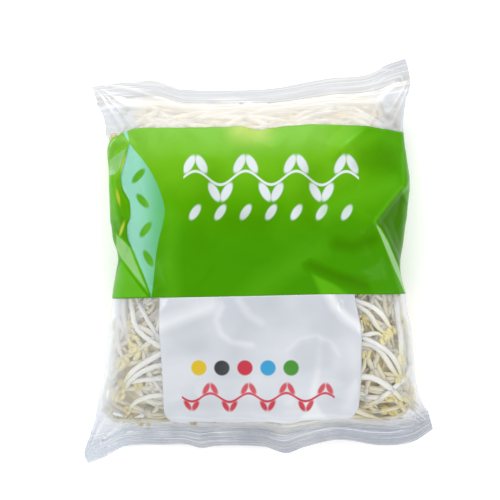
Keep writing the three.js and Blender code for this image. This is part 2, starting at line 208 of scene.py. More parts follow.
# %% Folds and facets on the front, in plan millimetres
# Each fold: points along it, height, reach on its left and reach on its right.
FOLDS = [
    # the tucked left side, from the band's top corner down
    ([(-97, 89), (-88, 81), (-90, 74), (-94, 62), (-94, 55), (-89, 41), (-88, 30), (-90, 14)],
     -2.4, 13, 6),
    ([(-88, 81), (-105, 83)], 1.3, 7, 5),
    ([(-89, 80), (-97, 74), (-106, 70)], 1.5, 6, 9),
    ([(-90, 74), (-99, 60), (-105, 44)], 1.2, 6, 6),
    # the long fold of the lower left, and the ridge beside it
    ([(-100, 22), (-84, 7), (-77, -9), (-72, -23)], -2.6, 12, 7),
    ([(-97, 2), (-88, -9), (-80, -17), (-72, -24)], 1.7, 5, 9),
    ([(-72, -23), (-80, -45), (-84, -70)], 1.2, 8, 6),
    # the right side: two ridges out of one point, with a dent between them
    ([(78, 27), (88, 40), (99, 52)], 2.0, 12, 4),
    ([(78, 27), (84, 21), (88, 12), (95, -2), (103, -24)], 2.1, 4, 13),
    ([(99, 52), (102, 70), (103, 92)], 1.6, 7, 5),
    ([(77, 93), (70, 86), (57, 74)], 1.5, 3.4, 12),
    ([(78, 27), (58, 32), (34, 30)], 0.9, 10, 14),
    # soft lines over the band's front
    ([(36, 90), (26, 70), (30, 50)], 0.8, 14, 10),
    ([(-12, 90), (-18, 72), (-34, 58)], 0.7, 12, 12),
    ([(14, 89), (8, 84), (0, 88)], -0.9, 7, 7),
    ([(-60, 6), (-48, -14), (-30, -24)], 0.8, 12, 10),
    ([(10, 26), (40, 8), (72, 4)], -0.9, 14, 10),
    ([(24, -8), (48, -12), (70, -6)], 0.8, 10, 8),
    ([(-70, 60), (-52, 40), (-44, 14)], 0.6, 16, 14),
    # and over the panel
    ([(50, -25), (54, -34), (66, -46)], 1.3, 5, 9),
    ([(-64, -45), (-40, -37), (-14, -36)], 0.9, 10, 8),
    ([(-14, -36), (6, -58), (36, -62)], -0.8, 12, 10),
    ([(36, -62), (28, -78), (22, -98)], 0.9, 9, 9),
    ([(-66, -70), (-48, -78), (-38, -96)], 0.7, 10, 10),
    ([(20, -98), (42, -104), (64, -106)], 0.6, 7, 6),
    # short folds in the windows and towards the bottom corners
    ([(-99, -40), (-96, -70), (-100, -100)], 1.0, 5, 5),
    ([(-111, -127), (-100, -125), (-86, -121)], 1.5, 3.5, 3.5),
    ([(103, -44), (99, -70), (104, -96)], 1.0, 5, 5),
    ([(116, -113), (100, -115), (84, -122)], 1.3, 3.5, 4),
    ([(-40, -116), (0, -113), (44, -117)], 0.9, 5, 5),
]
# Each facet: its corners, anticlockwise, and its slope.
FACETS = [
    ([(80, 27), (87, 17), (96, -6), (104, 8), (104, 34), (98, 49)], 0.2),
    ([(-109, 66), (-96, 58), (-92, 70), (-98, 76)], 0.2),
    ([(-109, -24), (-98, 0), (-76, -24)], 0.13),
]
# Each fan: its corner, its middle direction and spread in degrees, number of folds, reach, height.
FANS = [
    ((-117, 125), -35, 84, 5.5, 26, 1.1),
    ((109, 133), 214, 92, 6.5, 24, 0.5),
    ((-122, -136), 36, 84, 6.5, 24, 0.9),
    ((123, -117), 152, 92, 6.5, 22, 0.9),
]
# The waves of the film's lumps: size and pitch in millimetres, and direction in radians.
LUMPS = [(0.7, 71, 0.4), (0.5, 47, 1.9), (0.34, 33, 2.9), (0.24, 23, 1.1), (0.14, 15, 2.3)]
print(len(FOLDS), "folds,", len(FACETS), "facets and", len(FANS), "fans of folds")

# %% Formulas for folds, facets and fans
RIDGE_ROUND = 0.5


def fold(x, y, points, height, left_reach, right_reach):
    """A tent along a line: height times 1 less the distance as a share of that side's reach, its
    ridge rounded over RIDGE_ROUND. A negative height is a valley."""
    nearest = np.full(np.shape(x), 1e9)
    reach = np.ones(np.shape(x))
    for (x1, y1), (x2, y2) in zip(points, points[1:]):
        length = math.hypot(x2 - x1, y2 - y1)
        ux, uy = (x2 - x1) / length, (y2 - y1) / length
        along = np.clip((x - x1) * ux + (y - y1) * uy, 0, length)
        away = np.hypot(x - x1 - along * ux, y - y1 - along * uy)
        side = np.where((y - y1) * ux > (x - x1) * uy, left_reach, right_reach)
        reach = np.where(away < nearest, side, reach)
        nearest = np.minimum(nearest, away)
    return height * np.maximum(1 - np.sqrt(nearest**2 + RIDGE_ROUND**2) / reach, 0)


def facet(x, y, corners, slope):
    """A dent with flat sides: the slope times the distance to the nearest of its edges."""
    inside = np.full(np.shape(x), 1e9)
    for (x1, y1), (x2, y2) in zip(corners, corners[1:] + corners[:1]):
        length = math.hypot(x2 - x1, y2 - y1)
        side = ((x2 - x1) * (y - y1) - (y2 - y1) * (x - x1)) / length
        inside = np.minimum(inside, side)
    return -slope * np.maximum(inside, 0)


def fan(x, y, tip, toward, spread, count, reach, height):
    """Folds out of a corner: a triangle wave of the angle round it, as high as r e^(1 - 1.3 r)
    for a distance of r reaches, fading at both sides of the spread."""
    away = np.hypot(x - tip[0], y - tip[1])
    angle = (np.degrees(np.arctan2(y - tip[1], x - tip[0])) - toward + 180) % 360 - 180
    phase = angle / spread * count + 0.3 * np.sin(angle / 7 + away / 16)
    wave = 4 * np.abs(phase - np.floor(phase + 0.5)) - 1
    beside = smooth_step(spread / 2 + 6, spread / 2 - 10, np.abs(angle))
    r = away / reach
    return height * wave * beside * r * np.exp(1 - 1.3 * r)


depth = fold(np.array(-88.0), np.array(30.0), *FOLDS[0])
print("the tucked side's fold, on its line:", round(float(depth), 2), "mm")

# %% The film's relief and its points
TURN_STEP, STATION_STEP = 1e-3, 0.05


def crumple(x, y):
    """Slow waves in many directions, each bent by the one before it: the soft lumps that film
    takes on over an uneven filling."""
    bend, total = 0, 0
    for size, pitch, angle in LUMPS:
        wave = np.sin(2 * np.pi * (x * math.cos(angle) + y * math.sin(angle)) / pitch + bend)
        bend = bend * 0.5 + 1.4 * wave
        total = total + size * wave
    return total * 0.5


def relief(x, y, turn, station):
    """How far the film stands out of its plain surface: folds, facets and fans on the front,
    crumple all round, wrinkles along both ends and fine ribs pressed into the seals."""
    up = np.sign(np.sin(turn))
    front = smooth_step(-0.05, 0.35, np.sin(turn))
    folds = sum(fold(x, y, *f) for f in FOLDS) + sum(facet(x, y, *f) for f in FACETS)
    fans = sum(fan(x, y, *f) for f in FANS)
    lumps = crumple(x, y) * (0.35 + 0.65 * fullness(station)) * np.where(up > 0, 1, 0.5)
    from_end = np.minimum(TOP_END - station, station - BOTTOM_END)
    sealed = smooth_step(SEAL_WIDTH + 1, SEAL_WIDTH - 2, from_end)
    drawn = smooth_step(SEAL_WIDTH - 2, SEAL_WIDTH + 3, from_end)
    drawn = drawn * smooth_step(SEAL_WIDTH + 19, SEAL_WIDTH + 5, from_end)
    bend = 2.6 * np.sin(x / 27) + 1.3 * np.sin(x / 9)
    wrinkles = 0.3 * np.sin(2 * np.pi * from_end / 4.1 + bend) * drawn
    ribs = 0.1 * np.sin(2 * np.pi * from_end / 2.2 + 0.8 * np.sin(x / 31)) * up
    loose = (lumps + fans * (1 - 0.5 * sealed) + wrinkles) * (1 - 0.55 * sealed)
    return folds * front * (1 - sealed) + loose + ribs * sealed


def film_point(turn, station, offset=0.0):
    """The plain surface moved along its normal by the relief and an offset. The normal is the
    cross product of the surface's slopes along and round the packet."""
    turn, station = np.broadcast_arrays(np.asarray(turn, float), np.asarray(station, float))
    face = plain_face(turn, station)
    round_slope = plain_face(turn + TURN_STEP, station) - plain_face(turn - TURN_STEP, station)
    along_slope = plain_face(turn, station + STATION_STEP) - plain_face(turn, station - STATION_STEP)
    normal = np.cross(along_slope, round_slope)
    normal /= np.maximum(np.linalg.norm(normal, axis=-1, keepdims=True), 1e-12)
    rise = relief(face[..., 0], face[..., 1], turn, station) + offset
    return face + normal * rise[..., None], normal


crest = film_point(np.pi / 2, MIDDLE_STATION)[0]
print("crown with its relief:", round(float(crest[2]), 2), "mm")

# %% [markdown]
# From points to a mesh
#
# A grid of points becomes a mesh of quads. The tube's grid closes on itself round the packet,
# and each end is closed by joining the front half of its last ring to its back half.

# %% Mesh helpers
def add_mesh(name, points, faces, layers=None, uv=None):
    """Makes an object from points in millimetres and faces as rows of corner numbers. layers
    holds one number per point by name, and uv one pair per point, in metres."""
    mesh = bpy.data.meshes.new(name)
    points = np.asarray(points, float).reshape(-1, 3) * MM
    mesh.from_pydata(points.tolist(), [], [tuple(f) for f in faces])
    for key, values in (layers or {}).items():
        mesh.attributes.new(key, "FLOAT", "POINT").data.foreach_set("value", np.ravel(values))
    if uv is not None:
        corner = np.zeros(len(mesh.loops), int)
        mesh.loops.foreach_get("vertex_index", corner)
        pairs = np.asarray(uv).reshape(-1, 2)[corner]
        mesh.uv_layers.new(name="print").data.foreach_set("uv", pairs.ravel())
    mesh.shade_smooth()
    piece = bpy.data.objects.new(name, mesh)
    bpy.context.scene.collection.objects.link(piece)
    print(name, len(mesh.vertices), "points,", len(mesh.polygons), "faces")
    return piece


def grid_faces(rows, columns, closed=False, start=0, flip=False):
    """Quads between neighbours of a rows by columns grid, also from last column to first if it
    is closed."""
    r, c = np.meshgrid(np.arange(rows - 1), np.arange(columns if closed else columns - 1), indexing="ij")
    n = (c + 1) % columns
    quads = np.stack([r * columns + c, (r + 1) * columns + c, (r + 1) * columns + n, r * columns + n], -1)
    quads = quads.reshape(-1, 4) + start
    return quads[:, ::-1] if flip else quads


def end_strip(base, count, flip):
    """Faces that join a ring's front to its back, which has half as many steps: each takes in
    two steps of the front and one of the back."""
    steps = count // 3
    faces = []
    for k in range(steps):
        front = [2 * k + 2, 2 * k + 1, 2 * k]
        back = [(count - k) % count, count - k - 1]
        corners = front + [c for c in back if c not in front]
        faces.append([base + c for c in (corners[::-1] if flip else corners)])
    return faces


print("quads in a closed grid of 3 rows of 8 points:", len(grid_faces(3, 8, closed=True)))

# %% [markdown]
# The film
#
# One closed skin of clear film. The turns are spaced evenly along the section and not by angle,
# because the lens is much rounder at its sides than on its front.

# %% Turns and rows of the film
FRONT_STEPS = 280
BAND_ROWS = 92

# The band's edges as (x, station) points: its top sinks where the left side is tucked in.
BAND_TOP = [
    (-105, 77), (-103.3, 79.8), (-97.8, 87.4), (-94, 89.4), (-88, 90.6), (-81, 91.0), (-60, 91.2),
    (-14, 91.2), (2, 89.9), (12, 91.6), (28, 92.6), (58, 92.5), (77, 91.2), (90, 90.1), (102, 88.8),
]
BAND_BOTTOM = [(-103, -26.0), (-68, -24.5), (-6, -23.1), (50, -22), (103, -23)]


def even_turns(steps):
    """Turns that split the front of the middle section evenly, and on the back the mirror of
    every second one, so that the front and the back can be joined at the flat ends."""
    fine = np.linspace(0, np.pi, 2001)
    line = plain_face(fine, np.full_like(fine, MIDDLE_STATION))
    length = np.concatenate([[0], np.cumsum(np.linalg.norm(np.diff(line, axis=0), axis=1))])
    front = np.interp(np.linspace(0, length[-1], steps + 1), length, fine)
    return np.concatenate([front, 2 * np.pi - front[2:-2:2][::-1]])


TURNS = even_turns(FRONT_STEPS)
AROUND = len(TURNS)


def band_edge(edge, turn):
    """The station of an edge of the band at each turn, found at the x that the turn has there."""
    station = np.full_like(turn, np.mean([s for _, s in edge]))
    return curve_at(edge, plain_face(turn, station)[..., 0])


def rows_between(low, high, rows):
    """Evenly spaced stations from low to high at every turn, one row of them after another."""
    share = np.linspace(0, 1, rows)[:, None]
    return low + (high - low) * share


BAND_STATIONS = rows_between(band_edge(BAND_BOTTOM, TURNS), band_edge(BAND_TOP, TURNS), BAND_ROWS)
print(AROUND, "points round the film, rows and points under the band:", BAND_STATIONS.shape)

# %% How full and how hazy the packet is under the film
ROOM_INSET = 4.0


def room_at(turn, station):
    """Half the packet's thickness a little inside a point of the film, in millimetres."""
    _, half = outline_at(station)
    across = across_at(turn)
    inner = np.clip(np.abs(across) * half - ROOM_INSET, 0, None) / half
    s = np.sqrt(np.maximum(1 - inner ** (2 / SIDE_ROUND), 0))
    full = fullness(station)
    side = side_height(station, across)
    front = side + (THICKNESS - WALL - SIDE_HEIGHT) * full * s**FRONT_ROUND
    back = np.maximum(side - (SIDE_HEIGHT + BACK_SAG) * full * s**BACK_ROUND, WALL)
    return (front - back) / 2


def haze_at(turn, station):
    """The share of white haze on the film over the clear corners: a little all over, more on the
    left, and most along both sides, where the film turns away from the eye."""
    across = across_at(turn)
    left = smooth_step(0.3, -0.3, across)
    side = smooth_step(0.83, 0.97, np.abs(across))
    below = smooth_step(-20.0, -26.0, station) * smooth_step(-122.0, -106.0, station)
    front = smooth_step(-0.1, 0.2, np.sin(turn))
    return (0.04 + 0.15 * left + side * (0.3 + 0.12 * left)) * below * front


middle_room = room_at(np.array(np.pi / 2), np.array(MIDDLE_STATION))
print("half the thickness at the middle:", round(float(middle_room), 1), "mm")

# %% Make the film
FILM_OFFSET = 0.5
EMPTY_ROOM, FULL_ROOM = 3.0, 11.0
ROWS_BELOW, ROWS_ABOVE = 104, 36


def make_film():
    """The film's rows under the band are the band's own, so that the ink lies clear of it. Each
    point carries how empty the packet is under it, how strong a painted glint its fan folds take,
    and how hazy."""
    below = rows_between(BOTTOM_END, BAND_STATIONS[0], ROWS_BELOW)[:-1]
    above = rows_between(BAND_STATIONS[-1], TOP_END, ROWS_ABOVE)[1:]
    stations = np.concatenate([below, BAND_STATIONS, above])
    turn, station = np.broadcast_arrays(TURNS[None, :], stations)
    points, _ = film_point(turn, station, FILM_OFFSET)
    faces = grid_faces(len(stations), AROUND, closed=True).tolist()
    faces += end_strip(0, AROUND, True) + end_strip((len(stations) - 1) * AROUND, AROUND, False)
    empty = smooth_step(FULL_ROOM, EMPTY_ROOM, room_at(turn, station))
    # Painted glint: how high each point stands on the ridges of the fans' folds.
    fan_glint = sum(np.maximum(fan(points[..., 0], points[..., 1], *f) / f[-1], 0) for f in FANS)
    plan = np.stack([points[..., 0], station], -1) * MM
    layers = {"empty": empty, "fan_glint": fan_glint, "haze": haze_at(turn, station)}
    return add_mesh("clear_film", points, faces, layers, uv=plan)


film = make_film()

# %% [markdown]
# The printed band and panel
#
# Ink lies on the film, so both pieces come from the film's own formula with a little more
# offset. Their edges are real edges, which stay sharp from close up, where a mask in a material
# would blur. Each carries a flat map of the print: metres across and along the film.

# %% The band's painted shade and highlights, and its crescent
# Painted shade (below 0) where fold facets lie dark, and painted highlight (above 0) where they
# take glare. Lines are like folds, and areas are corners, anticlockwise, with the width of their
# soft rim.
PAINTED_LIGHT_LINES = [
    ([(-88, 80), (-93, 62), (-94, 57), (-93, 49), (-88, 41), (-87, 30), (-90, 24), (-89, 14), (-73, -22)],
     -0.9, 0.9, 1.3),
    ([(-90, 79), (-95, 64), (-98, 56)], 0.35, 0.8, 0.8),
    ([(-101, 60), (-100, 45), (-98, 30)], 0.6, 3.5, 3.5),
    ([(-97, 86), (-92, 83), (-88, 80)], 0.4, 0.7, 0.7),
    ([(78, 27), (88, 40), (98, 51)], 0.45, 1.5, 3.2),
    ([(79, 26), (84, 19), (88, 10), (92, -3), (98, -22)], 0.3, 2.0, 2.0),
    ([(99.5, 74), (99.5, 54)], 0.4, 1.6, 1.6),
    ([(101, 38), (101, 10)], 0.7, 2.6, 2.6),
    ([(53, 12), (64, 10), (78, 15)], -0.6, 7, 7),
    ([(35, -2), (52, -9), (72, -16)], -0.75, 5, 7),
    ([(36, 60), (30, 46), (34, 30)], -0.25, 12, 10),
    ([(-32, 60), (-40, 40), (-38, 16)], -0.2, 14, 14),
    ([(-58, 30), (-60, 4), (-56, -40)], 0.25, 9, 12),
    ([(-20, -40), (6, -14), (40, 8)], 0.2, 14, 12),
    ([(44, 34), (70, 46), (92, 52)], 0.3, 9, 12),
]
PAINTED_LIGHT_AREAS = [
    ([(-88.7, 80.9), (-97.8, 87.6), (-102.9, 76.2), (-102.6, 71.4)], -0.2, 0.8),
    ([(-88.5, 80), (-103.6, 70.2), (-103.8, 59), (-98, 59), (-94, 63.5)], 0.8, 0.8),
    ([(-97.8, 87.2), (-103.3, 80.1), (-102.9, 76.2), (-97.4, 83.3)], 1.0, 0.8),
    ([(75, 91.2), (71, 89.7), (55.5, 79), (61, 78.2)], 0.75, 1.2),
    ([(77.9, 26.9), (100.5, -22.4), (103.2, -22.4), (97, -4), (89, 14), (83, 23)], 1.2, 0.9),
    ([(-99, 21), (-98.6, 8.4), (-94.3, 0.8), (-74.2, -22.5), (-72.3, -22.3), (-84, 6.8)], 0.82, 1.2),
    ([(-94.3, 0.8), (-104, -26), (-74, -24.5)], 0.6, 0.8),
    ([(-101, 62), (-99, 30), (-90, 24), (-88, 38), (-95, 58)], -0.2, 3.0),
    ([(78.5, 27), (97, -4), (104, 8), (104, 40), (98, 50)], -0.85, 1.6),
    ([(64, 80), (60, 62), (70, 56), (98, 58), (100, 78), (84, 86)], -0.4, 9.0),
    ([(33, -5), (42, -26), (68, -26), (50, -13)], 0.55, 3.0),
    ([(-40, 44), (-30, 14), (10, 10), (20, 40)], -0.3, 14.0),
]
# The mint crescent's two edges as (station, x) points.
MINT_LEFT = [
    (-23, -72.6), (-9, -78), (7.7, -86), (14.5, -89.3), (24, -89.6), (30, -87.4), (41, -88),
    (49.5, -92.7), (57, -94.3), (63, -93.4), (80, -88.6), (84, -90.5), (92, -95),
]
MINT_RIGHT = [
    (-23, -72), (-9.4, -70.4), (4, -69), (14.5, -67), (24.8, -64.4), (35, -63), (49, -67),
    (61, -73), (69.5, -79), (80.8, -88.3), (84, -88.8), (92, -91),
]


def painted_fold_light(x, y, lines, areas):
    """The painted shade and highlight of every line and area, summed. A facet whose slope is -1 gives
    the distance to its nearest edge, so an area's painted light grows to its full amount over the
    width of its rim."""
    painted_light = sum(fold(x, y, *line) for line in lines)
    for corners, amount, rim in areas:
        painted_light = painted_light + amount * np.clip(facet(x, y, corners, -1.0) / rim, 0, 1)
    return painted_light


print(len(PAINTED_LIGHT_LINES), "lines and", len(PAINTED_LIGHT_AREAS), "areas of tone on the band")

# %% Make the band
INK_OFFSET, INK = 0.66, 0.12
OUTSIDE = -1.0


def make_band():
    """Two layers of points on the film's own turns, with a strip round each edge to close them.
    The band carries its painted shade and highlights, and how far each point lies inside the mint
    crescent."""
    turns = np.broadcast_to(TURNS, BAND_STATIONS.shape)
    layers = [film_point(turns, BAND_STATIONS, INK_OFFSET + k * INK)[0] for k in (0, 1)]
    rows, size = BAND_ROWS, BAND_ROWS * AROUND
    faces = grid_faces(rows, AROUND, closed=True, flip=True).tolist()
    faces += grid_faces(rows, AROUND, closed=True, start=size).tolist()
    i, j = np.arange(AROUND), (np.arange(AROUND) + 1) % AROUND
    last = size - AROUND
    faces += np.stack([i, j, j + size, i + size], -1)[:, ::-1].tolist()
    faces += np.stack([i + last, j + last, j + last + size, i + last + size], -1).tolist()
    x = layers[1][..., 0]
    front = smooth_step(0.0, 0.2, np.sin(turns))
    painted_light = painted_fold_light(x, BAND_STATIONS, PAINTED_LIGHT_LINES, PAINTED_LIGHT_AREAS) * front
    from_left = x - curve_at(MINT_LEFT, BAND_STATIONS)
    from_right = curve_at(MINT_RIGHT, BAND_STATIONS) - x
    mint = np.where(np.sin(turns) > 0, np.minimum(from_left, from_right), OUTSIDE)
    plan = np.stack([x, BAND_STATIONS], -1) * MM
    stored = {"painted_light": np.stack([painted_light, painted_light]), "mint": np.stack([mint, mint])}
    return add_mesh("green_band", np.stack(layers), faces, stored, uv=np.stack([plan, plan]))


band = make_band()

# %% The panel's edges and its painted shade and highlights
PANEL_LOW, PANEL_HALF_WIDTH, PANEL_CORNER = -109.0, 67.0, 9.0
# How far the panel's lower edge stands off its lowest station, as (x, size) points.
PANEL_BOTTOM = [
    (-66, -2.6), (-55, -2.6), (-40, -1.2), (-15, -1.4), (0, -0.9), (30, 0.0), (50, -0.5), (67, 0.3),
]
# The panel's side edges as (station, x) points, and the painted shade and highlights of the
# bulges under it.
PANEL_LEFT = [(-110, -64.6), (-70, -65.3), (-50, -66.6), (-20, -67)]
PANEL_RIGHT = [(-110, 68), (-95, 69.2), (-60, 69.7), (-46, 69.3), (-36, 67.4), (-25, 65.2), (-20, 65)]
PANEL_LIGHT_LINES = [
    ([(48, -22), (52, -30), (60, -38), (69, -44)], 1.0, 4, 6),
    ([(-66, -44), (-52, -38), (-31, -30)], 0.6, 8, 6),
    ([(-24, -30), (-28, -39), (-25, -48), (-18, -54), (-4, -56)], 0.5, 3, 4),
    ([(-13, -26), (-6, -36), (2, -41)], 0.4, 4, 4),
    ([(20, -60), (28, -52), (39, -50), (48, -54), (54, -63)], 0.35, 3, 2),
    ([(42, -54), (40, -76), (36, -96)], 0.5, 3, 4),
    ([(-60, -62), (-44, -58), (-20, -62)], -0.4, 10, 10),
    ([(-50, -98), (-20, -96), (10, -100)], -0.3, 8, 8),
    ([(16, -40), (8, -28), (10, -24)], -0.35, 10, 12),
    ([(64, -60), (66, -80), (62, -98)], 0.3, 5, 8),
]
PANEL_LIGHT_AREAS = [
    ([(19, -60), (22, -76), (50, -74), (54, -63), (48, -54), (39, -50), (28, -52)], -0.5, 5.0),
    ([(38, -92), (26, -110), (50, -110)], 0.55, 3.0),
    ([(-64, -50), (-64, -66), (-30, -62), (-30, -46)], -0.25, 8.0),
]


def panel_sides(station):
    """The panel's left and right edge at a station, with rounded lower corners."""
    short = np.maximum(PANEL_CORNER - (station - PANEL_LOW), 0)
    corner = PANEL_CORNER - np.sqrt(np.maximum(PANEL_CORNER**2 - short**2, 0))
    return curve_at(PANEL_LEFT, station) + corner, curve_at(PANEL_RIGHT, station) - corner


print("the panel's edges at station -60:", [round(float(x), 1) for x in panel_sides(np.array(-60.0))])

# %% Make the panel
CORNER_ROWS, PANEL_ROWS, PANEL_COLUMNS = 12, 64, 110
PRINT_GAP = 0.05


def make_panel():
    """Rows run from the rounded lower corners up to the band's lower edge: the upper rows lift
    to follow that edge, and the lower ones drop to follow the panel's own."""
    top = curve_at(BAND_BOTTOM, 0.0) - PRINT_GAP
    rounded = PANEL_LOW + PANEL_CORNER * (1 - np.cos(np.linspace(0, np.pi / 2, CORNER_ROWS)))
    stations = np.concatenate([rounded[:-1], np.linspace(rounded[-1], top, PANEL_ROWS)])
    share = np.linspace(0, 1, PANEL_COLUMNS)[None, :]
    left, right = (edge[:, None] for edge in panel_sides(stations))
    x = left + (right - left) * share
    lift = smooth_step(-60.0, top, stations)[:, None]
    drop = smooth_step(-80.0, PANEL_LOW, stations)[:, None]
    s = stations[:, None] + lift * (curve_at(BAND_BOTTOM, x) - PRINT_GAP - top)
    s = s + drop * curve_at(PANEL_BOTTOM, x)
    layers = [film_point(turn_at(x, s), s, INK_OFFSET + k * INK)[0] for k in (0, 1)]
    rows, columns = x.shape
    size = rows * columns
    faces = grid_faces(rows, columns).tolist() + grid_faces(rows, columns, start=size, flip=True).tolist()
    rim = np.concatenate([np.arange(columns), np.arange(1, rows) * columns + columns - 1,
                          (rows - 1) * columns + np.arange(columns - 2, -1, -1),
                          np.arange(rows - 2, 0, -1) * columns])
    after = np.roll(rim, -1)
    faces += np.stack([rim, after, after + size, rim + size], -1).tolist()
    plan = np.stack([x, s], -1) * MM
    painted_light = painted_fold_light(x, s, PANEL_LIGHT_LINES, PANEL_LIGHT_AREAS)
    stored = {"painted_light": np.stack([painted_light, painted_light])}
    return add_mesh("white_panel", np.stack(layers), faces, stored, uv=np.stack([plan, plan]))


panel = make_panel()

# %% [markdown]
# Where sprouts may lie
#
# Sprouts are kept in coordinates of their own: how far round the packet, how far along it, and
# how deep under the film. In those coordinates the whole inside of the film is one flat sheet,
# and a pile on it can be kept as a height map, the way snow or leaves are often piled up in code.

# %% Sprout coordinates
STEM_RADIUS = 1.85
FILM_CLEARANCE = 0.7
CORE_DEPTH = 7.4
CELL = 1.5

FINE_TURNS = np.linspace(0, 2 * np.pi, 4001)
FINE_LINE = plain_face(FINE_TURNS, np.full_like(FINE_TURNS, MIDDLE_STATION))
FINE_LENGTH = np.concatenate([[0], np.cumsum(np.linalg.norm(np.diff(FINE_LINE, axis=0), axis=1))])
GIRTH = FINE_LENGTH[-1]


def turn_of(reach):
    """The turn at a length round the packet's middle section."""
    return np.interp(np.mod(reach, GIRTH), FINE_LENGTH, FINE_TURNS)


ROUND_CELLS = int(GIRTH / CELL)
ALONG_CELLS = int((TOP_SEAL - BOTTOM_SEAL) / CELL)
cell_turn = turn_of((np.arange(ROUND_CELLS) + 0.5) * GIRTH / ROUND_CELLS)[:, None]
cell_station = (BOTTOM_SEAL + (np.arange(ALONG_CELLS) + 0.5) * CELL)[None, :]
room = room_at(cell_turn, cell_station)
pile = np.minimum(room, CORE_DEPTH)
print("girth", round(float(GIRTH)), "mm, height map", pile.shape)


def cells_of(reach, station):
    """The height map's cell at each point."""
    i = (np.mod(reach, GIRTH) / GIRTH * ROUND_CELLS).astype(int) % ROUND_CELLS
    j = np.clip(((station - BOTTOM_SEAL) / CELL).astype(int), 0, ALONG_CELLS - 1)
    return i, j


# %% [markdown]
# Piling up the sprouts
#
# A sprout is a path of points: a thin root, a thick stem, and a hook at the top that carries
# the seed leaves. Each new one lies on what is already there, stiff enough to bridge small gaps,
# and then fills the height map under it. Of several random paths the emptiest place wins. The
# buried sprouts go in first. Stems with listed paths come next, at three depths so that
# crossing ones pass over each other, and random ones near the film fill what is left. A rigid
# body simulation of hundreds of bent stems would be slow, and would put none where it is wanted.

# %% Paths of sprouts
HOOK_START = 0.86
SHARES = np.concatenate([np.linspace(0, 0.82, 11), np.linspace(HOOK_START, 1, 5)])
SHORTEST, LONGEST = 52, 88
draw = np.random.default_rng(7)

# Where random sprouts start: stations, greatest slant, and how far round from the right side.
ANYWHERE = (BOTTOM_SEAL + 4, TOP_SEAL - 5, np.pi / 2, 0, GIRTH)
TOP_STRIP = (TOP_SEAL - 26, TOP_SEAL - 3, 0.3, 0, GIRTH / 2)
BOTTOM_STRIP = (BOTTOM_SEAL + 4, BOTTOM_SEAL + 22, 0.3, 0, GIRTH)
RIGHT_WINDOW = (-104, -24, np.pi / 2, 8, 62)
LEFT_WINDOW = (-104, -24, np.pi / 2, GIRTH * 0.53 - 62, GIRTH * 0.53 - 8)


def random_path(low, high, spread, first, last):
    """A path that starts between two stations and two places round the packet, heads round it to
    within a spread of angles, bends slowly and turns hard in its hook."""
    length = draw.uniform(SHORTEST, LONGEST)
    steps = np.diff(SHARES, prepend=0) * length
    heading = draw.choice([0, np.pi]) + draw.uniform(-spread, spread)
    heading = heading + np.cumsum(steps) * draw.normal(0, 0.011)
    heading += 0.25 * np.sin(np.linspace(0, 5, len(SHARES)) + draw.uniform(0, 6))
    in_hook = np.clip((SHARES - HOOK_START) / 0.14, 0, 1)
    heading += draw.choice([-1, 1]) * draw.uniform(0.5, 2.6) * in_hook
    reach = draw.uniform(first, last) + np.cumsum(steps * np.cos(heading))
    station = draw.uniform(low, high) + np.cumsum(steps * np.sin(heading))
    return reach, station


def chosen_path(route):
    """A smooth path through given plan points on the front, from root to seed leaves."""
    x, y = np.array(route, float).T
    way = np.concatenate([[0], np.cumsum(np.hypot(np.diff(x), np.diff(y)))])
    way /= way[-1]
    x, y = curve_at(np.stack([way, x], 1), SHARES), curve_at(np.stack([way, y], 1), SHARES)
    station = y.copy()
    for _ in range(6):
        middle, half = outline_at(station)
        station = y - end_shift(station, np.clip((x - middle) / half, -1, 1))
    return np.interp(turn_at(x, station), FINE_TURNS, FINE_LENGTH), station


print("a sprout's path has", len(SHARES), "points")

# %% Laying one sprout on the pile
def lay(reach, station, topmost):
    """Lays a sprout on the pile and returns its depth at each point. topmost is the least depth
    that its upper side may have."""
    i, j = cells_of(reach, station)
    deep = pile[i, j] - STEM_RADIUS
    deep = np.minimum(deep, np.roll(deep, 1))
    smooth = np.convolve(np.pad(deep, 3, mode="edge"), np.ones(7) / 7, mode="valid")
    deep = np.clip(smooth, topmost + STEM_RADIUS, np.maximum(room[i, j], topmost + STEM_RADIUS))
    fine = np.linspace(0, 1, 60)
    heading = np.arctan2(np.gradient(np.interp(fine, SHARES, station)),
                         np.gradient(np.interp(fine, SHARES, reach)))
    for beside in np.linspace(-STEM_RADIUS, STEM_RADIUS, 5):
        a, b = cells_of(np.interp(fine, SHARES, reach) - beside * np.sin(heading),
                        np.interp(fine, SHARES, station) + beside * np.cos(heading))
        np.minimum.at(pile, (a, b), np.interp(fine, SHARES, deep) - STEM_RADIUS)
    return deep


print("room at its greatest:", round(float(room.max()), 1), "mm")

# %% Where a sprout fits
# The corners that hold no sprouts: a place in plan and how far it reaches.
BARE_CORNERS = [((-114, 122), 36), ((107, 130), 24), ((-120, -134), 28), ((122, -120), 20)]
SEAL_MARGIN = (3, 2)
LEAST_ROOM = STEM_RADIUS + FILM_CLEARANCE + 0.6
WINDOW_TOP, WINDOW_INNER, UNDER_INK = -23.0, 56.0, 6.0


def fits(reach, station):
    """True where the whole path has room between the seals and the film's two sides, keeps out
    of the bare corners, and isn't wholly under the ink."""
    if station.min() < BOTTOM_SEAL + SEAL_MARGIN[0] or station.max() > TOP_SEAL - SEAL_MARGIN[1]:
        return False
    turn = turn_of(reach)
    x, y = np.moveaxis(plain_face(turn, station)[..., :2], -1, 0)
    under_panel = (np.abs(x) < PANEL_HALF_WIDTH - UNDER_INK) & (np.sin(turn) > 0)
    under_panel = under_panel & (station > PANEL_LOW + UNDER_INK) & (station < 0)
    under_band = (station > WINDOW_TOP + UNDER_INK) & (station < TOP_STRIP[0])
    if (under_panel | under_band).all():
        return False
    if any((np.hypot(x - corner[0], y - corner[1]) < far).any() for corner, far in BARE_CORNERS):
        return False
    return room[cells_of(reach, station)].min() > LEAST_ROOM


print("cells with room enough:", int((room > LEAST_ROOM).sum()), "of", room.size)

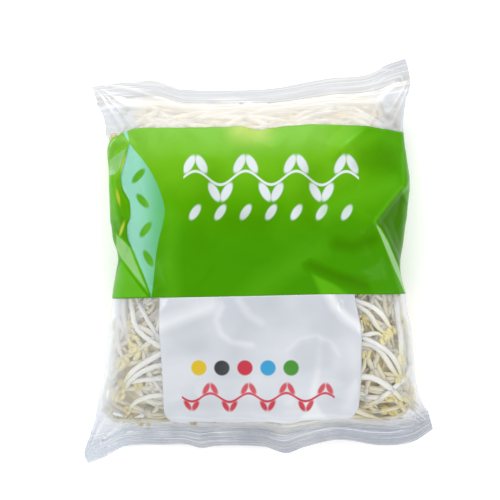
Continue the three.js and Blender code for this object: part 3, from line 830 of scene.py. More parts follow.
# %% Stems that show
# Stems that show in the clear corners and in the strip at the top, as plan points in mm. Those
# that cross are in different lists, which go in from the lowest to the topmost.
CHOSEN_LOW = [
    [(-58, -102), (-70, -86), (-78, -72), (-80, -61)],
    [(58, -78), (64, -62), (71, -48), (71, -40)],
    [(50, -98), (62, -86), (72, -74), (74, -66)],
    [(-60, -20), (-66, -36), (-72, -52), (-84, -62)],
    [(-52, -98), (-70, -100), (-80, -96), (-83, -89)],
    [(84, -106), (80, -101), (74, -95), (66, -91), (48, -84)],
    [(-60, -62), (-70, -52), (-80, -46), (-90, -44)],
    [(88, 96), (76, 100), (62, 103), (53, 103)],
    [(-66, 101), (-48, 101), (-28, 99), (-8, 97)],
]
CHOSEN_MIDDLE = [
    [(-88, -6), (-84, -27), (-77, -39), (-71, -48), (-66, -54), (-52, -72)],
    [(-38, -80), (-66, -81), (-78, -82), (-90, -84), (-98, -87), (-100, -93)],
    [(-97, -26), (-100, -48), (-98, -60), (-94, -67)],
    [(-95, -18), (-95, -34), (-93, -46), (-88, -58)],
    [(40, -14), (56, -20), (67, -29), (76, -35), (82, -44), (88, -50)],
    [(48, -54), (70, -56), (78, -57), (86, -63), (93, -73), (99, -81)],
    [(52, -90), (66, -95), (78, -96), (90, -96)],
    [(80, 82), (76, 93), (70, 99), (62, 103)],
    [(18, 101), (35, 98), (46, 94), (62, 86)],
    [(-92, 94), (-84, 98), (-70, 100), (-50, 97), (-30, 95)],
]
CHOSEN_HIGH = [
    [(-92, -12), (-88, -31), (-86, -42), (-81, -49), (-67, -58), (-50, -64)],
    [(-52, -56), (-68, -64), (-77, -69), (-87, -76), (-93, -84)],
    [(-40, -66), (-66, -71), (-74, -73), (-82, -77), (-88, -82), (-95, -92)],
    [(-36, -90), (-65, -93), (-74, -94), (-84, -98), (-90, -104)],
    [(-100, -18), (-99, -38), (-94, -47), (-89, -52)],
    [(30, -16), (50, -20), (66, -26), (79, -31), (86, -37), (92, -46)],
    [(36, -58), (58, -54), (70, -51), (82, -49), (86, -52)],
    [(60, -46), (72, -52), (82, -57), (91, -63), (97, -71), (100, -79)],
    [(40, -76), (70, -79), (78, -80), (87, -85), (95, -91), (101, -98)],
    [(94, -14), (97, -28), (98, -40), (100, -55), (100, -66)],
    [(10, 88), (24, 95), (31, 100), (42, 104), (57, 106)],
    [(-58, 90), (-70, 96), (-78, 101), (-82, 102)],
    [(-40, 101), (-20, 102), (0, 102), (22, 98)],
]
CHOSEN = [(2.0, CHOSEN_LOW), (1.0, CHOSEN_MIDDLE), (0.0, CHOSEN_HIGH)]
print("stems with chosen paths:", sum(len(routes) for _, routes in CHOSEN))

# %% Pile up the sprouts
BURIED_TOP = 3.9
BURIED_TRIES, WINDOW_TRIES, STRIP_TRIES, PILE_TRIES = 900, 160, 300, 700
CHOICES = 7


def fill(tries, topmost, emptiest, where=ANYWHERE):
    """Tries to lay random sprouts, each in the emptiest of several places, and leaves out those
    whose place is less than that much deeper than the topmost sprouts."""
    laid = []
    for _ in range(tries):
        best = None
        for _ in range(CHOICES):
            reach, station = random_path(*where)
            if not fits(reach, station):
                continue
            depth = pile[cells_of(reach, station)].mean()
            if best is None or depth > best[0]:
                best = (depth, reach, station)
        if best is None or best[0] < topmost + emptiest:
            continue
        laid.append((best[1], best[2], lay(best[1], best[2], topmost)))
    return laid


def close_windows():
    """Marks the pile as full in the clear corners beside the panel, so that the sprouts chosen
    for them stay on top."""
    x = plain_face(cell_turn, cell_station)[..., 0]
    window = (np.abs(x) > WINDOW_INNER) & (np.sin(cell_turn) > 0.1) & (cell_station < WINDOW_TOP)
    pile[window] = np.minimum(pile[window], FILM_CLEARANCE)


sprouts = fill(WINDOW_TRIES, BURIED_TOP, emptiest=0.9, where=LEFT_WINDOW)
sprouts += fill(WINDOW_TRIES, BURIED_TOP, emptiest=0.9, where=RIGHT_WINDOW)
sprouts += fill(BURIED_TRIES, BURIED_TOP, emptiest=1.6)
buried = len(sprouts)
for below, routes in CHOSEN:
    for reach, station in map(chosen_path, routes):
        sprouts.append((reach, station, lay(reach, station, FILM_CLEARANCE + below)))
close_windows()
sprouts += fill(STRIP_TRIES, FILM_CLEARANCE, emptiest=0.9, where=TOP_STRIP)
sprouts += fill(STRIP_TRIES, FILM_CLEARANCE, emptiest=1.6, where=BOTTOM_STRIP)
sprouts += fill(PILE_TRIES, FILM_CLEARANCE, emptiest=3.1)
print(buried, "buried sprouts,", len(sprouts) - buried, "over them")

# %% [markdown]
# Turning paths into sprouts
#
# All sprouts become one mesh in one step: every centre line is a row of an array, and so is
# every ring of points round it. The stem's radius runs from a hair of a root to full thickness
# and thins again in the hook. Two seed leaves are shorter, flattened tubes with rounded ends.

# %% Tubes round many lines at once
STEM_SIDES, LEAF_SIDES = 7, 7


def rings(lines, ups, radii, sides, flat=1.0):
    """Rings of points round many lines at once: each is its line's point plus a circle in the
    plane of two directions across the line, the first of them squeezed by flat."""
    forward = np.gradient(lines, axis=1)
    forward /= np.linalg.norm(forward, axis=-1, keepdims=True)
    side = np.cross(ups, forward)
    side /= np.linalg.norm(side, axis=-1, keepdims=True)
    up = np.cross(forward, side)
    angle = 2 * np.pi * np.arange(sides) / sides
    circle = (flat * np.cos(angle)[:, None] * up[:, :, None, :]
              + np.sin(angle)[:, None] * side[:, :, None, :])
    return lines[:, :, None, :] + radii[:, :, None, None] * circle


def tube_faces(count, length, sides):
    """Quads along each of many tubes, and one face over each of their ends."""
    one = grid_faces(length, sides, closed=True)
    start = np.arange(count)[:, None, None] * length * sides
    walls = (one[None] + start).reshape(-1, 4).tolist()
    ring = np.arange(sides)[None, :] + np.arange(count)[:, None] * length * sides
    return walls + ring.tolist() + (ring[:, ::-1] + (length - 1) * sides).tolist()


print("faces of one stem:", len(tube_faces(1, len(SHARES), STEM_SIDES)))

# %% Make the sprouts
ROOT_RADIUS, LEAF_RADIUS = 0.32, 2.3
LEAF_SHARES = np.array([0, 0.12, 0.36, 0.64, 0.87, 1.0])


def stem_radius(share, size):
    """A thin root, then the full stem, thinner again in the hook."""
    swell = smooth_step(0.02, 0.24, share)
    hook = smooth_step(0.8, 1.0, share)
    return size * (ROOT_RADIUS + (STEM_RADIUS - ROOT_RADIUS) * swell) * (1 - 0.38 * hook)


def sprout_lines():
    """Centre lines of all the sprouts in space, and the film's normal at each point. They keep
    their depth below the lowest film within three cells of them."""
    reach, station, depth = (np.stack(rows) for rows in zip(*sprouts))
    face = plain_face(cell_turn, cell_station)
    lowest = relief(face[..., 0], face[..., 1], *np.broadcast_arrays(cell_turn, cell_station))
    for axis in (0, 1):
        lowest = np.min([np.roll(lowest, k, axis) for k in (-3, -2, -1, 0, 1, 2, 3)], axis=0)
    lowest = lowest[cells_of(reach, station)]
    turn = turn_of(reach)
    surface, normal = film_point(turn, station, 0.0)
    own = relief(*np.moveaxis(plain_face(turn, station)[..., :2], -1, 0), turn, station)
    return surface - normal * (depth + own - np.minimum(lowest, own))[..., None], normal


def make_sprouts(name, lines, ups, seed, buried):
    """Stems with roots in one mesh and seed leaves in another, each with the share of its length
    at every point and a tint. A stem's tint is mostly a painted shade, warmer and darker the deeper
    the sprout is buried, and a little random."""
    rng = np.random.default_rng(seed)
    count, steps = lines.shape[:2]
    depth_shade_and_tint = np.clip(buried, 0, 1) * 0.8 + 0.2 * rng.random(count)
    size = rng.uniform(0.84, 1.12, (count, 1))
    radii = stem_radius(np.broadcast_to(SHARES, (count, steps)), size)
    stems = rings(lines, ups, radii, STEM_SIDES)
    tint = np.broadcast_to(depth_shade_and_tint[:, None, None], stems.shape[:3])
    share = np.broadcast_to(SHARES[None, :, None], stems.shape[:3])
    stem_piece = add_mesh(name + "_stems", stems, tube_faces(count, steps, STEM_SIDES),
                          {"tint": tint, "share": share})
    tip, before = lines[:, -1], lines[:, -2]
    forward = (tip - before) / np.linalg.norm(tip - before, axis=1, keepdims=True)
    up = ups[:, -1]
    beside = np.cross(up, forward)
    beside /= np.linalg.norm(beside, axis=1, keepdims=True)
    open_angle = rng.uniform(-0.04, 0.3, (count, 1))
    long = rng.uniform(6.0, 8.6, (count, 1))
    leaves, leaf_ups = [], []
    for side in (-1, 1):
        out = forward * np.cos(open_angle) + side * beside * np.sin(open_angle)
        start = tip - forward * 1.4 + side * beside * 0.95 - up * 0.5
        bend = side * beside * np.sin(np.pi * LEAF_SHARES)[:, None, None] * 0.7
        sink = up * (LEAF_SHARES**2)[:, None, None] * 1.4
        line = start + LEAF_SHARES[:, None, None] * long * out + bend - sink
        leaves.append(np.swapaxes(line, 0, 1))
        leaf_ups.append(np.broadcast_to(beside[:, None], leaves[-1].shape))
    leaves, leaf_ups = np.concatenate(leaves), np.concatenate(leaf_ups)
    width = LEAF_RADIUS * np.sin(np.pi * (0.07 + 0.84 * LEAF_SHARES)) ** 0.6
    leaf_radii = np.tile(size, (2, 1)) * width
    blades = rings(leaves, leaf_ups, leaf_radii, LEAF_SIDES, flat=0.8)
    leaf_tint = np.broadcast_to(np.tile(rng.random(count), 2)[:, None, None], blades.shape[:3])
    leaf_share = np.broadcast_to(LEAF_SHARES[None, :, None], blades.shape[:3])
    leaf_faces = tube_faces(2 * count, len(LEAF_SHARES), LEAF_SIDES)
    leaf_piece = add_mesh(name + "_seed_leaves", blades, leaf_faces,
                          {"tint": leaf_tint, "share": leaf_share})
    return stem_piece, leaf_piece


lines, ups = sprout_lines()
depths = np.array([depth.mean() for _, _, depth in sprouts])
stems, seed_leaves = make_sprouts("tangle", lines, ups, 3, (depths - 3.0) / 3.5)

# %% [markdown]
# Loose sprouts and the packed middle
#
# Four whole sprouts lie loose in the packet's corners, halfway between its front and its back.
# Under the pile a packed middle closes the view, as the sprouts below it do in a full packet.

# %% Make the loose sprouts
LOOSE = {
    "sprout_low_right": [
        (58, -110), (72, -111), (84, -111), (94, -110), (101, -107.5), (104, -102.5),
    ],
    "sprout_low_left": [
        (-52, -111), (-66, -112), (-80, -112), (-92, -111.5), (-101, -109), (-104.5, -103.5),
    ],
    "sprout_high_right": [
        (34, 104), (48, 105), (62, 105.5), (76, 105.5), (87, 105.5), (94, 103),
    ],
    "sprout_high_left": [
        (-30, 104), (-44, 105), (-60, 105.5), (-74, 105.5), (-86, 105.5), (-93, 104),
    ],
}


def loose_line(route):
    """A line halfway between front and back, through points of x and station."""
    x, station = np.array(route, float).T
    way = np.linspace(0, 1, len(x))
    x, station = (curve_at(np.stack([way, v], 1), SHARES) for v in (x, station))
    return (plain_face(turn_at(x, station), station) + plain_face(turn_at(x, station, -1), station)) / 2


loose_pieces = {}
for number, (name, route) in enumerate(LOOSE.items()):
    line = loose_line(route)[None]
    up = np.broadcast_to(np.array([0.0, 0.0, 1.0]), line.shape)
    piece_name = name.replace("sprout_", "loose_")
    loose_pieces[name] = make_sprouts(piece_name, line, up, 20 + number, 0.3)

# %% Make the packed middle
CORE_ROWS, CORE_STEPS = 90, 72
CORE_STRAIGHT, CORE_ROUND = 66.0, 38.0


def make_core():
    """The film's surface drawn in by the depth of the pile, a little rippled, and narrower
    towards both ends: by 0.45 of 1 - sqrt(1 - t^2), t being the share of the way through the
    rounded stretch."""
    stations = np.linspace(BOTTOM_SEAL + 16, TOP_SEAL - 12, CORE_ROWS)
    turns = even_turns(CORE_STEPS)
    turn, station = np.broadcast_arrays(turns[None, :], stations[:, None])
    thick = room_at(turn, station)
    points, _ = film_point(turn, station, -np.minimum(CORE_DEPTH + 1.0, 0.86 * thick))
    past = np.maximum(np.abs(station - MIDDLE_STATION) - CORE_STRAIGHT, 0) / CORE_ROUND
    narrow = np.sqrt(np.maximum(1 - np.minimum(past, 1) ** 2, 0.05))
    middle = outline_at(station)[0]
    points[..., 0] = middle + (points[..., 0] - middle) * (1 - 0.45 * (1 - narrow))
    points[..., 2] += 0.5 * np.sin(points[..., 0] * 1.7 + 3 * np.sin(points[..., 1] / 5))
    count = len(turns)
    faces = grid_faces(len(stations), count, closed=True).tolist()
    faces += end_strip(0, count, True) + end_strip((len(stations) - 1) * count, count, False)
    return add_mesh("packed_middle", points, faces)


core = make_core()

# %% [markdown]
# Shader maths as plain Python
#
# A material is a tree of nodes, and sums written as nodes are hard to read. Wire stands for one
# output, and Python's own operators on it add the Math nodes. Colours have their own mix.

# %% A small language for materials
class Wire:
    """One output of a node, which can be added, multiplied and so on like a number."""

    def __init__(self, paint, socket):
        self.paint, self.socket = paint, socket

    def maths(self, operation, *others):
        """A Math node whose first number is this output."""
        numbers = dict(enumerate((self, *others)))
        return self.paint.node("ShaderNodeMath", {"operation": operation}, numbers)

    def __add__(self, other):
        return self.maths("ADD", other)

    def __sub__(self, other):
        return self.maths("SUBTRACT", other)

    def __rsub__(self, other):
        return self.paint.node("ShaderNodeMath", {"operation": "SUBTRACT"}, {0: other, 1: self})

    def __mul__(self, other):
        return self.maths("MULTIPLY", other)

    def __truediv__(self, other):
        return self.maths("DIVIDE", other)


class Paint:
    """A material under construction: its methods add nodes and return their outputs."""

    def __init__(self, name):
        self.material = bpy.data.materials.new(name)
        self.material.use_nodes = True
        self.tree = self.material.node_tree
        self.tree.nodes.clear()

    def node(self, kind, settings=None, sockets=None, output=0):
        """Adds a node, sets it up, connects or fills its sockets, and returns one output."""
        node = self.tree.nodes.new(kind)
        settings = dict(settings or {})
        stops = settings.pop("stops", None)
        for key, value in settings.items():
            setattr(node, key, value)
        if stops:
            ramp = node.color_ramp
            while len(ramp.elements) < len(stops):
                ramp.elements.new(0.5)
            for element, (place, color) in zip(ramp.elements, stops):
                element.position, element.color = place, (*color, 1)
        for key, value in (sockets or {}).items():
            if isinstance(value, Wire):
                self.tree.links.new(value.socket, node.inputs[key])
            else:
                node.inputs[key].default_value = value
        return Wire(self, node.outputs[output]) if node.outputs else node

    def place(self):
        """Object coordinates as three numbers."""
        spot = self.node("ShaderNodeTexCoord", output="Object")
        return [self.node("ShaderNodeSeparateXYZ", None, {0: spot}, axis) for axis in "XYZ"]

    def print_map(self):
        """The flat print coordinates as two numbers."""
        spot = self.node("ShaderNodeUVMap", {"uv_map": "print"})
        return [self.node("ShaderNodeSeparateXYZ", None, {0: spot}, axis) for axis in "XY"]

    def attribute(self, name):
        """A number stored on the points of the mesh."""
        return self.node("ShaderNodeAttribute", {"attribute_name": name}, output="Fac")

    def noise(self, scale, detail=2.0, rough=0.5):
        """Cloudy noise from 0 to 1 in Object coordinates, scale clouds to a metre."""
        spot = self.node("ShaderNodeTexCoord", output="Object")
        sockets = {"Vector": spot, "Scale": scale, "Detail": detail, "Roughness": rough}
        return self.node("ShaderNodeTexNoise", None, sockets)

    def step(self, value, low, high):
        """0 up to low, 1 from high on, and a smooth slope between them."""
        settings = {"interpolation_type": "SMOOTHSTEP"}
        sockets = {"Value": value, "From Min": low, "From Max": high}
        return self.node("ShaderNodeMapRange", settings, sockets)

    def mix(self, share, first, second):
        """A colour between two colours."""
        return self.node("ShaderNodeMix", {"data_type": "RGBA"}, {0: share, 6: first, 7: second}, 2)

    def ramp(self, value, stops):
        """A colour read off a row of stops: a place from 0 to 1 and a screen colour each."""
        stops = [(place, colour(code)[:3]) for place, code in stops]
        return self.node("ShaderNodeValToRGB", {"stops": stops}, {0: value})

    def bump(self, height, strength, distance):
        """Normals tilted as if the surface stood out by the height times a distance in metres,
        of which the strength is the share that is kept."""
        sockets = {"Height": height, "Strength": strength, "Distance": distance}
        return self.node("ShaderNodeBump", None, sockets)

    def principled(self, **sockets):
        """Blender's general shader, its sockets named with underscores for spaces."""
        named = {key.replace("_", " "): value for key, value in sockets.items()}
        return self.node("ShaderNodeBsdfPrincipled", None, named)

    def finish(self, shader, *pieces):
        """Puts the shader on the material, and the material on the pieces."""
        self.node("ShaderNodeOutputMaterial", None, {0: shader})
        for piece in pieces:
            piece.data.materials.clear()
            piece.data.materials.append(self.material)
        print(self.material.name + ":", len(self.tree.nodes), "nodes, on", len(pieces), "pieces")


def colour(code):
    """The linear colour of a screen colour written as six hexadecimal digits."""
    screen = [int(code[i:i + 2], 16) / 255 for i in (0, 2, 4)]
    linear = [c / 12.92 if c <= 0.04045 else ((c + 0.055) / 1.055) ** 2.4 for c in screen]
    return (*linear, 1.0)


print("middle grey in linear light:", round(colour("808080")[0], 3))

# %% [markdown]
# Clear film
#
# Clear film shows as what it reflects: mostly it lets light through, and a thin share of it
# scatters a cool white or mirrors the lamps. A glass shader would bend the light and cost many
# more samples, and film this thin bends nothing. So a transparent shader is mixed with a glossy
# one, whose share grows where the film is empty, creased, clouded or turned away from the eye.
# Its colour is cool at the ends. White lines along the wrinkles near both ends and along the fans'
# folds are painted glints. Over the strip of sprouts above the band it is a creamy painted glow, as
# of sprouts lit through the film, and painted shade on the slope there tempers the lamps' glare.

# %% The film's material
def paint_film():
    """Colour, gloss and share of the film's glossy shader, each worked out from the place on the
    print map and from what the points carry."""
    paint = Paint("clear film")
    u, v = paint.print_map()
    empty = paint.attribute("empty")
    from_top, from_bottom = TOP_END * MM - v, v - BOTTOM_END * MM
    end = 1 - paint.step((from_top + 0.006).maths("MINIMUM", from_bottom), 0.016, 0.03)
    drawn = paint.node("ShaderNodeCombineXYZ", None, {0: u * 12.0, 1: v * 1100.0})
    streak = paint.node("ShaderNodeTexNoise", None, {"Vector": drawn, "Scale": 1.0, "Detail": 3.0})
    fine, soft = paint.noise(300.0, 3.0), paint.noise(46.0, 3.0)
    # Painted glints: white lines along the fans' ridges, and streaks along the wrinkled film near both
    # ends.
    fan_glint = paint.step(paint.attribute("fan_glint"), 0.05, 0.6) * 0.8
    line = (paint.step(streak, 0.5, 0.66) * end).maths("MAXIMUM", fan_glint)
    height = paint.bump(fine * 0.2 + soft + streak * end * 0.6, 0.4, 0.0011)
    base = paint.mix(paint.step(u, -0.05, -0.11), colour("969FB0"), colour("C8D2E0"))
    base = paint.mix(paint.step(v, -0.118, -0.09), base, colour("E8EDF4"))
    base = paint.mix(paint.step(v, 0.08, 0.1), base, colour("F4F7FB"))
    ear = paint.step(u, 0.075, 0.1) * paint.step(v, 0.1, 0.12)
    base = paint.mix(ear, base, colour("E4E8EF"))
    middle = 1 - paint.step(u.maths("ABSOLUTE"), 0.076, 0.09)
    above_band = paint.step(v, 0.086, 0.09)
    strip = above_band * (1 - paint.step(v, 0.107, 0.113))
    steep = paint.step(v, 0.1055, 0.108) * (1 - paint.step(v, 0.111, 0.113))
    haze = paint.attribute("haze")
    sloping = above_band * (1 - paint.step(v, 0.108, 0.112))
    dull = sloping.maths("MAXIMUM", haze * 3.0).maths("MINIMUM", 1.0)
    # Painted shade over the slope above the band, which mirrors the lamps past the top seal, and a darker
    # painted shade on its steepest part; between them a creamy painted glow, as of sprouts lit through
    # the film.
    base = paint.mix(sloping * 0.7, base, colour("DEE3EB"))
    base = paint.mix(strip * middle * 0.9, base, colour("FFFAEF"))
    base = paint.mix(steep * 0.6, base, colour("D2D0CA"))
    # White where the painted glints run, and in soft clouds of haze.
    cloudy = paint.mix(line * 0.6 + paint.step(soft, 0.4, 0.7) * 0.3, base, colour("FBFCFE"))
    skin = paint.principled(Base_Color=cloudy, Roughness=dull * 0.34 + 0.16,
                            Metallic=dull * -0.35 + 0.35, IOR=1.45, Normal=height)
    edge = paint.node("ShaderNodeLayerWeight", None, {"Blend": 0.3}, "Facing")
    clear = paint.node("ShaderNodeBsdfTransparent", None, {0: (0.985, 0.99, 1.0, 1)})
    veil = paint.step(v, 0.086, 0.094) * 0.47 + (1 - paint.step(v, -0.12, -0.112)) * 0.1 + haze
    share = edge * edge * 0.5 + empty * 0.3 + line * empty * 0.3 + soft * 0.06 + veil + 0.04
    both = paint.node("ShaderNodeMixShader", None, {0: share, 1: clear, 2: skin})
    paint.finish(both, film)


paint_film()

# %% [markdown]
# Printed ink
#
# The band runs from a light green at its top to a deep one below and towards its right, partly as
# the print's own gradient and partly as a painted sheen of the lamps past the top seal. A pale
# patch under its top edge is a painted glow, as of sprouts lit through the ink. A garland and a
# row of ovals cross its front, and a mint crescent with small leaves stands at its left. The
# pattern is drawn with distances on the flat print map: a garland's stem is where the height is
# close to a sine, and a leaf is where a stretched distance is small. The painted light stored on
# the points paints shade where fold facets lie dark and highlights where they take glare.

# %% Masks for the print
EDGE_SOFT = 0.0006


def leaf_mask(paint, u, v, centre, angle, size):
    """1 inside an oval: its distance is measured along turned axes, each over its half size."""
    c, s = math.cos(angle), math.sin(angle)
    du, dv = u - centre[0], v - centre[1]
    p = (du * c + dv * s) / size[0]
    q = (dv * c - du * s) / size[1]
    away = (p * p + q * q).maths("SQRT")
    soft = EDGE_SOFT / size[1]
    return 1 - paint.step(away, 1 - soft, 1 + soft)


def vine_mask(paint, u, v, height, pitch, swing, size):
    """A garland: a sine line with a leaf above each crest and below each trough."""
    cell = (u / pitch + 100.0).maths("FRACT") * pitch - pitch / 2
    line = (v - height - (cell * (2 * math.pi / pitch)).maths("SINE") * swing).maths("ABSOLUTE")
    mask = 1 - paint.step(line, 0.0006, 0.0012)
    for side in (-1, 1):
        for lean, shift in ((0.9, -0.19), (-0.9, 0.19)):
            centre = (side * pitch / 4 + shift * size[0] * 3.2, height + side * (swing + size[0] * 0.72))
            leaf = leaf_mask(paint, cell, v, centre, math.pi / 2 - side * lean * 0.55, size)
            mask = mask.maths("MAXIMUM", leaf)
    return mask


def row_mask(paint, u, v, height, pitch, size):
    """A row of slanting ovals, one in the middle of each pitch."""
    cell = (u / pitch + 100.0).maths("FRACT") * pitch - pitch / 2
    return leaf_mask(paint, cell, v, (0.0, height), 1.0, size)


# %% The band's ink
# Small leaves on and beside the mint crescent: place across and along, and lean.
MINT_LEAVES = [
    (-0.0815, 0.058, 0.8), (-0.0785, 0.041, 2.3), (-0.0762, 0.0215, 0.9), (-0.0745, 0.002, 2.1),
]
YELLOW_LEAVES = [(-0.0925, 0.067, 1.3), (-0.096, 0.044, 1.8), (-0.0935, 0.022, 1.2)]


def paint_band():
    """The band's ink: greens with a painted sheen and glow, then the garland and ovals, the crescent,
    and the stored painted shade and highlights.
    """
    paint = Paint("green ink")
    u, v = paint.print_map()
    cloud = paint.noise(26.0, 2.0)
    # Lighter at the top and deeper below and towards the right: partly the print's gradient, partly a
    # painted sheen of the lamps past the top seal.
    deep_right = paint.step(u + v * 0.4, 0.075, 0.125) * 0.75
    fall = paint.step(v + (cloud - 0.5) * 0.03, 0.0, 0.094) * (1 - deep_right)
    green = paint.ramp(fall, [(0.0, "419200"), (0.4, "53A200"), (0.8, "6CB418"), (1.0, "78B83C")])
    # Painted glow: a pale patch under the band's top edge, as of sprouts lit through the ink.
    painted_glow = (1 - paint.step((u + 0.0055).maths("ABSOLUTE"), 0.005, 0.022)) * paint.step(v, 0.073, 0.09)
    green = paint.mix(painted_glow * 0.75, green, colour("BCD070"))
    painted_light = paint.attribute("painted_light")
    front = paint.step(paint.place()[2], 0.02, 0.03)
    garland = vine_mask(paint, u, v, height=0.056, pitch=0.034, swing=0.0046, size=(0.0068, 0.0029))
    ovals = row_mask(paint, u, v, height=0.033, pitch=0.017, size=(0.0058, 0.0027))
    garland = garland.maths("MAXIMUM", ovals) * front
    inside = paint.step(u, -0.0507, -0.0501) * (1 - paint.step(u, 0.0677, 0.0683))
    shade = paint.mix(garland * inside, green, colour("DCE3EA"))
    inward = paint.attribute("mint")
    mint = paint.mix(paint.step(u, -0.084, -0.064), colour("8ED0BA"), colour("5EB47A"))
    for x, y, lean in MINT_LEAVES:
        leaf = leaf_mask(paint, u, v, (x, y), lean, (0.0062, 0.0025))
        mint = paint.mix(leaf, mint, colour("55A41E"))
    for x, y, lean in YELLOW_LEAVES:
        stroke = leaf_mask(paint, u, v, (x, y), lean, (0.0052, 0.001)) * front
        shade = paint.mix(stroke, shade, colour("BCC83C"))
    shade = paint.mix(paint.step(inward, -0.2, 0.4), shade, mint)
    # Painted highlight where the stored painted light is above 0, painted shade where it is below.
    glare = paint.mix(paint.step(painted_light, 0.55, 1.0), colour("63BA12"), colour("9CC78E"))
    shade = paint.mix(painted_light * 1.2, shade, glare)
    shade = paint.mix(painted_light * -1.0, shade, colour("397200"))
    height = paint.bump(paint.noise(90.0, 2.0), 0.12, 0.001)
    ink = paint.principled(Base_Color=shade, Roughness=0.34, IOR=1.3,
                           Specular_Tint=(0.45, 1.0, 0.08, 1), Coat_Roughness=0.16,
                           Coat_Weight=paint.step(painted_light, -0.3, 0.3) * 0.1, Normal=height)
    paint.finish(ink, band)


paint_band()

# %% The panel's ink
# The panel's dots, from left to right.
DOTS = ["D9B90A", "20282C", "C4203C", "2A9BD0", "3E8F1E"]
DOT_PITCH, DOT_RADIUS = 0.0155, 0.0052


def paint_panel():
    """The panel's ink: a cool white with its stored painted shade and highlights, the red garland and
    the dots.
    """
    paint = Paint("white ink")
    u, v = paint.print_map()
    cloud = paint.noise(22.0, 2.0)
    white = paint.mix(paint.step(cloud, 0.3, 0.7), colour("C6CCD5"), colour("D8DDE4"))
    painted_light = paint.attribute("painted_light")
    # Painted highlights and painted shade of the bulges under the panel, from the stored painted light.
    white = paint.mix(painted_light * 0.9, white, colour("F2F4F7"))
    white = paint.mix(painted_light * -0.6, white, colour("B4B9C2"))
    garland = vine_mask(paint, u, v, height=-0.092, pitch=0.026, swing=0.003, size=(0.0044, 0.0018))
    inside = 1 - paint.step(u.maths("ABSOLUTE"), 0.0517, 0.0523)
    shade = paint.mix(garland * inside, white, colour("C4203C"))
    for i, dot in enumerate(DOTS):
        spot = leaf_mask(paint, u, v, (-0.04 + DOT_PITCH * i, -0.0715), 0.0, (DOT_RADIUS, DOT_RADIUS))
        shade = paint.mix(spot, shade, colour(dot))
    height = paint.bump(paint.noise(90.0, 2.0), 0.12, 0.001)
    ink = paint.principled(Base_Color=shade, Roughness=0.3, IOR=1.45, Coat_Weight=0.35,
                           Coat_Roughness=0.1, Normal=height)
    paint.finish(ink, panel)


paint_panel()

# %% [markdown]
# Sprouts
#
# Stems are moist and waxy, nearly white, browner in the root and greener towards the hook. The
# seed leaves are a pale yellow with olive patches left by the seed coat. Both read two numbers
# stored on their points: the share of the length, and a tint. A stem's tint is mostly a painted
# shade, warmer and darker the deeper it lies in the pile, and a little random; a seed leaf's is
# drawn at random.

# %% The stems' material
def paint_stems(*pieces):
    """A colour along each stem, warmed and darkened by its tint, mostly a painted shade of the pile's
    depth, over a little light scattered inside.
    """
    paint = Paint("sprout stem")
    share, tint = paint.attribute("share"), paint.attribute("tint")
    along = paint.ramp(share, [(0.0, "C2A468"), (0.12, "EADDB4"), (0.3, "FCFAF4"), (0.82, "FBF9F0"),
                               (1.0, "EBE7B0")])
    # Painted shade: stems deep in the pile turn a darker, warmer beige.
    shade = paint.mix(tint * 0.75, along, colour("E6D6A4"))
    height = paint.bump(paint.noise(500.0, 2.0), 0.15, 0.0004)
    stem = paint.principled(Base_Color=shade, Roughness=0.3, IOR=1.4, Normal=height,
                            Subsurface_Weight=0.6, Subsurface_Radius=(1.0, 0.9, 0.6),
                            Subsurface_Scale=0.003)
    paint.finish(stem, *pieces)


paint_stems(stems, *(pair[0] for pair in loose_pieces.values()))

# %% The seed leaves' material
def paint_seed_leaves(*pieces):
    """A yellow between two, with patches, and greener at the far end of each seed leaf."""
    paint = Paint("seed leaf")
    share, tint = paint.attribute("share"), paint.attribute("tint")
    base = paint.mix(tint, colour("F6ECAE"), colour("DFCC68"))
    patch = paint.step(paint.noise(300.0, 3.0), 0.54, 0.66) * 0.7
    shade = paint.mix(patch, base, colour("BFA443"))
    shade = paint.mix(paint.step(share, 0.85, 1.0) * 0.3, shade, colour("B8B45A"))
    height = paint.bump(paint.noise(320.0, 2.0), 0.3, 0.0005)
    leaf = paint.principled(Base_Color=shade, Roughness=0.42, IOR=1.4, Normal=height)
    paint.finish(leaf, *pieces)


paint_seed_leaves(seed_leaves, *(pair[1] for pair in loose_pieces.values()))

# %% The packed middle's material
def paint_core():
    """Cloudy creams, as of sprouts out of focus."""
    paint = Paint("sprouts in shade")
    streak = paint.noise(90.0, 4.0, 0.7)
    shade = paint.ramp(streak, [(0.3, "D6C588"), (0.5, "F0E4B6"), (0.65, "FCF6E0")])
    height = paint.bump(streak, 0.8, 0.004)
    paint.finish(paint.principled(Base_Color=shade, Roughness=0.6, Normal=height), core)


paint_core()

# %% [markdown]
# Joining the frame
#
# Every piece rides on the one body and names the solid that it stands for.

# %% Join the frame
def join(piece, nodes):
    """Puts a piece on the body root and hides the solids it stands for."""
    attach(piece, "root")
    if nodes:
        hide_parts(*nodes)
    print(piece.name, "stands for", ", ".join(nodes) or "no solid of its own")


join(film, ["film"])
join(band, ["printed_band"])
join(panel, ["printed_panel"])
join(stems, ["sprout_tangle"])
join(seed_leaves, [])
join(core, [])
for node, (stem_piece, leaf_piece) in loose_pieces.items():
    join(stem_piece, [node])
    join(leaf_piece, [])

# %% [markdown]
# Floor, lamps and camera
#
# A pale floor glows a little, so that the packet's shadow on it stays faint. Five broad, weak
# lamps stand round the packet and none above it, because the camera looks straight down and the
# film would mirror that one. Two of them stand past the top seal, where the slope mirrors them,
# and the others draw lines along the creases.

# %% The floor
FLOOR_REACH, FLOOR_DROP, FLOOR_GLOW = 3.0, 0.0002, 0.25


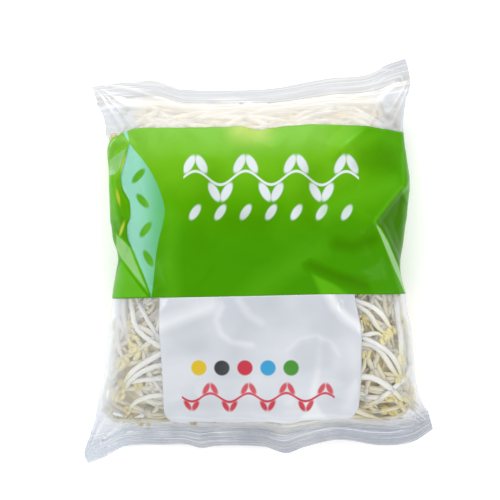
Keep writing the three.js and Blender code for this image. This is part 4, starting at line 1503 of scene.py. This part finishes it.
def make_floor():
    """A square a little under the packet, which glows and is left out of the object."""
    mesh = bpy.data.meshes.new("floor")
    signs = [(-1, -1), (1, -1), (1, 1), (-1, 1)]
    mesh.from_pydata([(FLOOR_REACH * x, FLOOR_REACH * y, 0) for x, y in signs], [], [(0, 1, 2, 3)])
    floor = bpy.data.objects.new("floor", mesh)
    floor.location.z = -FLOOR_DROP
    bpy.context.scene.collection.objects.link(floor)
    paint = Paint("pale floor")
    grain = paint.noise(3.0, 2.0)
    pale = paint.mix(grain, (0.94, 0.945, 0.95, 1), (0.96, 0.96, 0.96, 1))
    matte = paint.principled(Base_Color=pale, Roughness=0.7, Emission_Color=pale,
                             Emission_Strength=FLOOR_GLOW)
    paint.finish(matte, floor)


make_floor()

# %% The lamps
def make_lamp(name, place, size, watts):
    """A square lamp that faces the middle of the packet."""
    lamp = bpy.data.lights.new(name, "AREA")
    lamp.shape, lamp.size, lamp.energy = "SQUARE", size, watts
    holder = bpy.data.objects.new(name, lamp)
    spot = np.array(place)
    aim = -spot / np.linalg.norm(spot)
    holder.location = place
    holder.rotation_euler = (math.acos(-aim[2]), 0, math.atan2(-aim[0], aim[1]))
    bpy.context.scene.collection.objects.link(holder)
    print(name, watts, "watts")


make_lamp("top_softbox", (-0.4, 1.05, 0.85), 0.45, 2.6)
make_lamp("low_softbox", (0.0, 1.25, 0.36), 0.6, 4.6)
make_lamp("left_softbox", (-1.05, 0.15, 0.8), 0.42, 2.6)
make_lamp("right_strip", (1.0, -0.1, 0.75), 0.32, 1.6)
make_lamp("front_fill", (0.1, -1.1, 0.8), 0.8, 3.2)

# %% The camera and the sky
CAMERA_HEIGHT = 0.87
CAMERA_X, CAMERA_Y = -0.0056, 0.0077
SENSOR_WIDTH = 36.0
VIEW_WIDTH = 0.35
VIEW_LEVEL = 0.02
SKY_LIGHT = 0.7


def make_camera():
    """A camera that looks straight down and sees VIEW_WIDTH across at the height VIEW_LEVEL."""
    lens = bpy.data.cameras.new("camera")
    lens.sensor_width = SENSOR_WIDTH
    lens.lens = SENSOR_WIDTH * (CAMERA_HEIGHT - VIEW_LEVEL) / VIEW_WIDTH
    camera = bpy.data.objects.new("camera", lens)
    camera.location = (CAMERA_X, CAMERA_Y, CAMERA_HEIGHT)
    bpy.context.scene.collection.objects.link(camera)
    bpy.context.scene.camera = camera
    print("camera", CAMERA_HEIGHT, "m up, lens of", round(lens.lens, 1), "mm")


make_camera()
bpy.context.scene.view_settings.view_transform = "Standard"
sky = bpy.data.worlds.new("studio")
sky.use_nodes = True
backdrop = sky.node_tree.nodes["Background"]
backdrop.inputs["Color"].default_value = (1.0, 0.99, 0.975, 1)
backdrop.inputs["Strength"].default_value = SKY_LIGHT
bpy.context.scene.world = sky
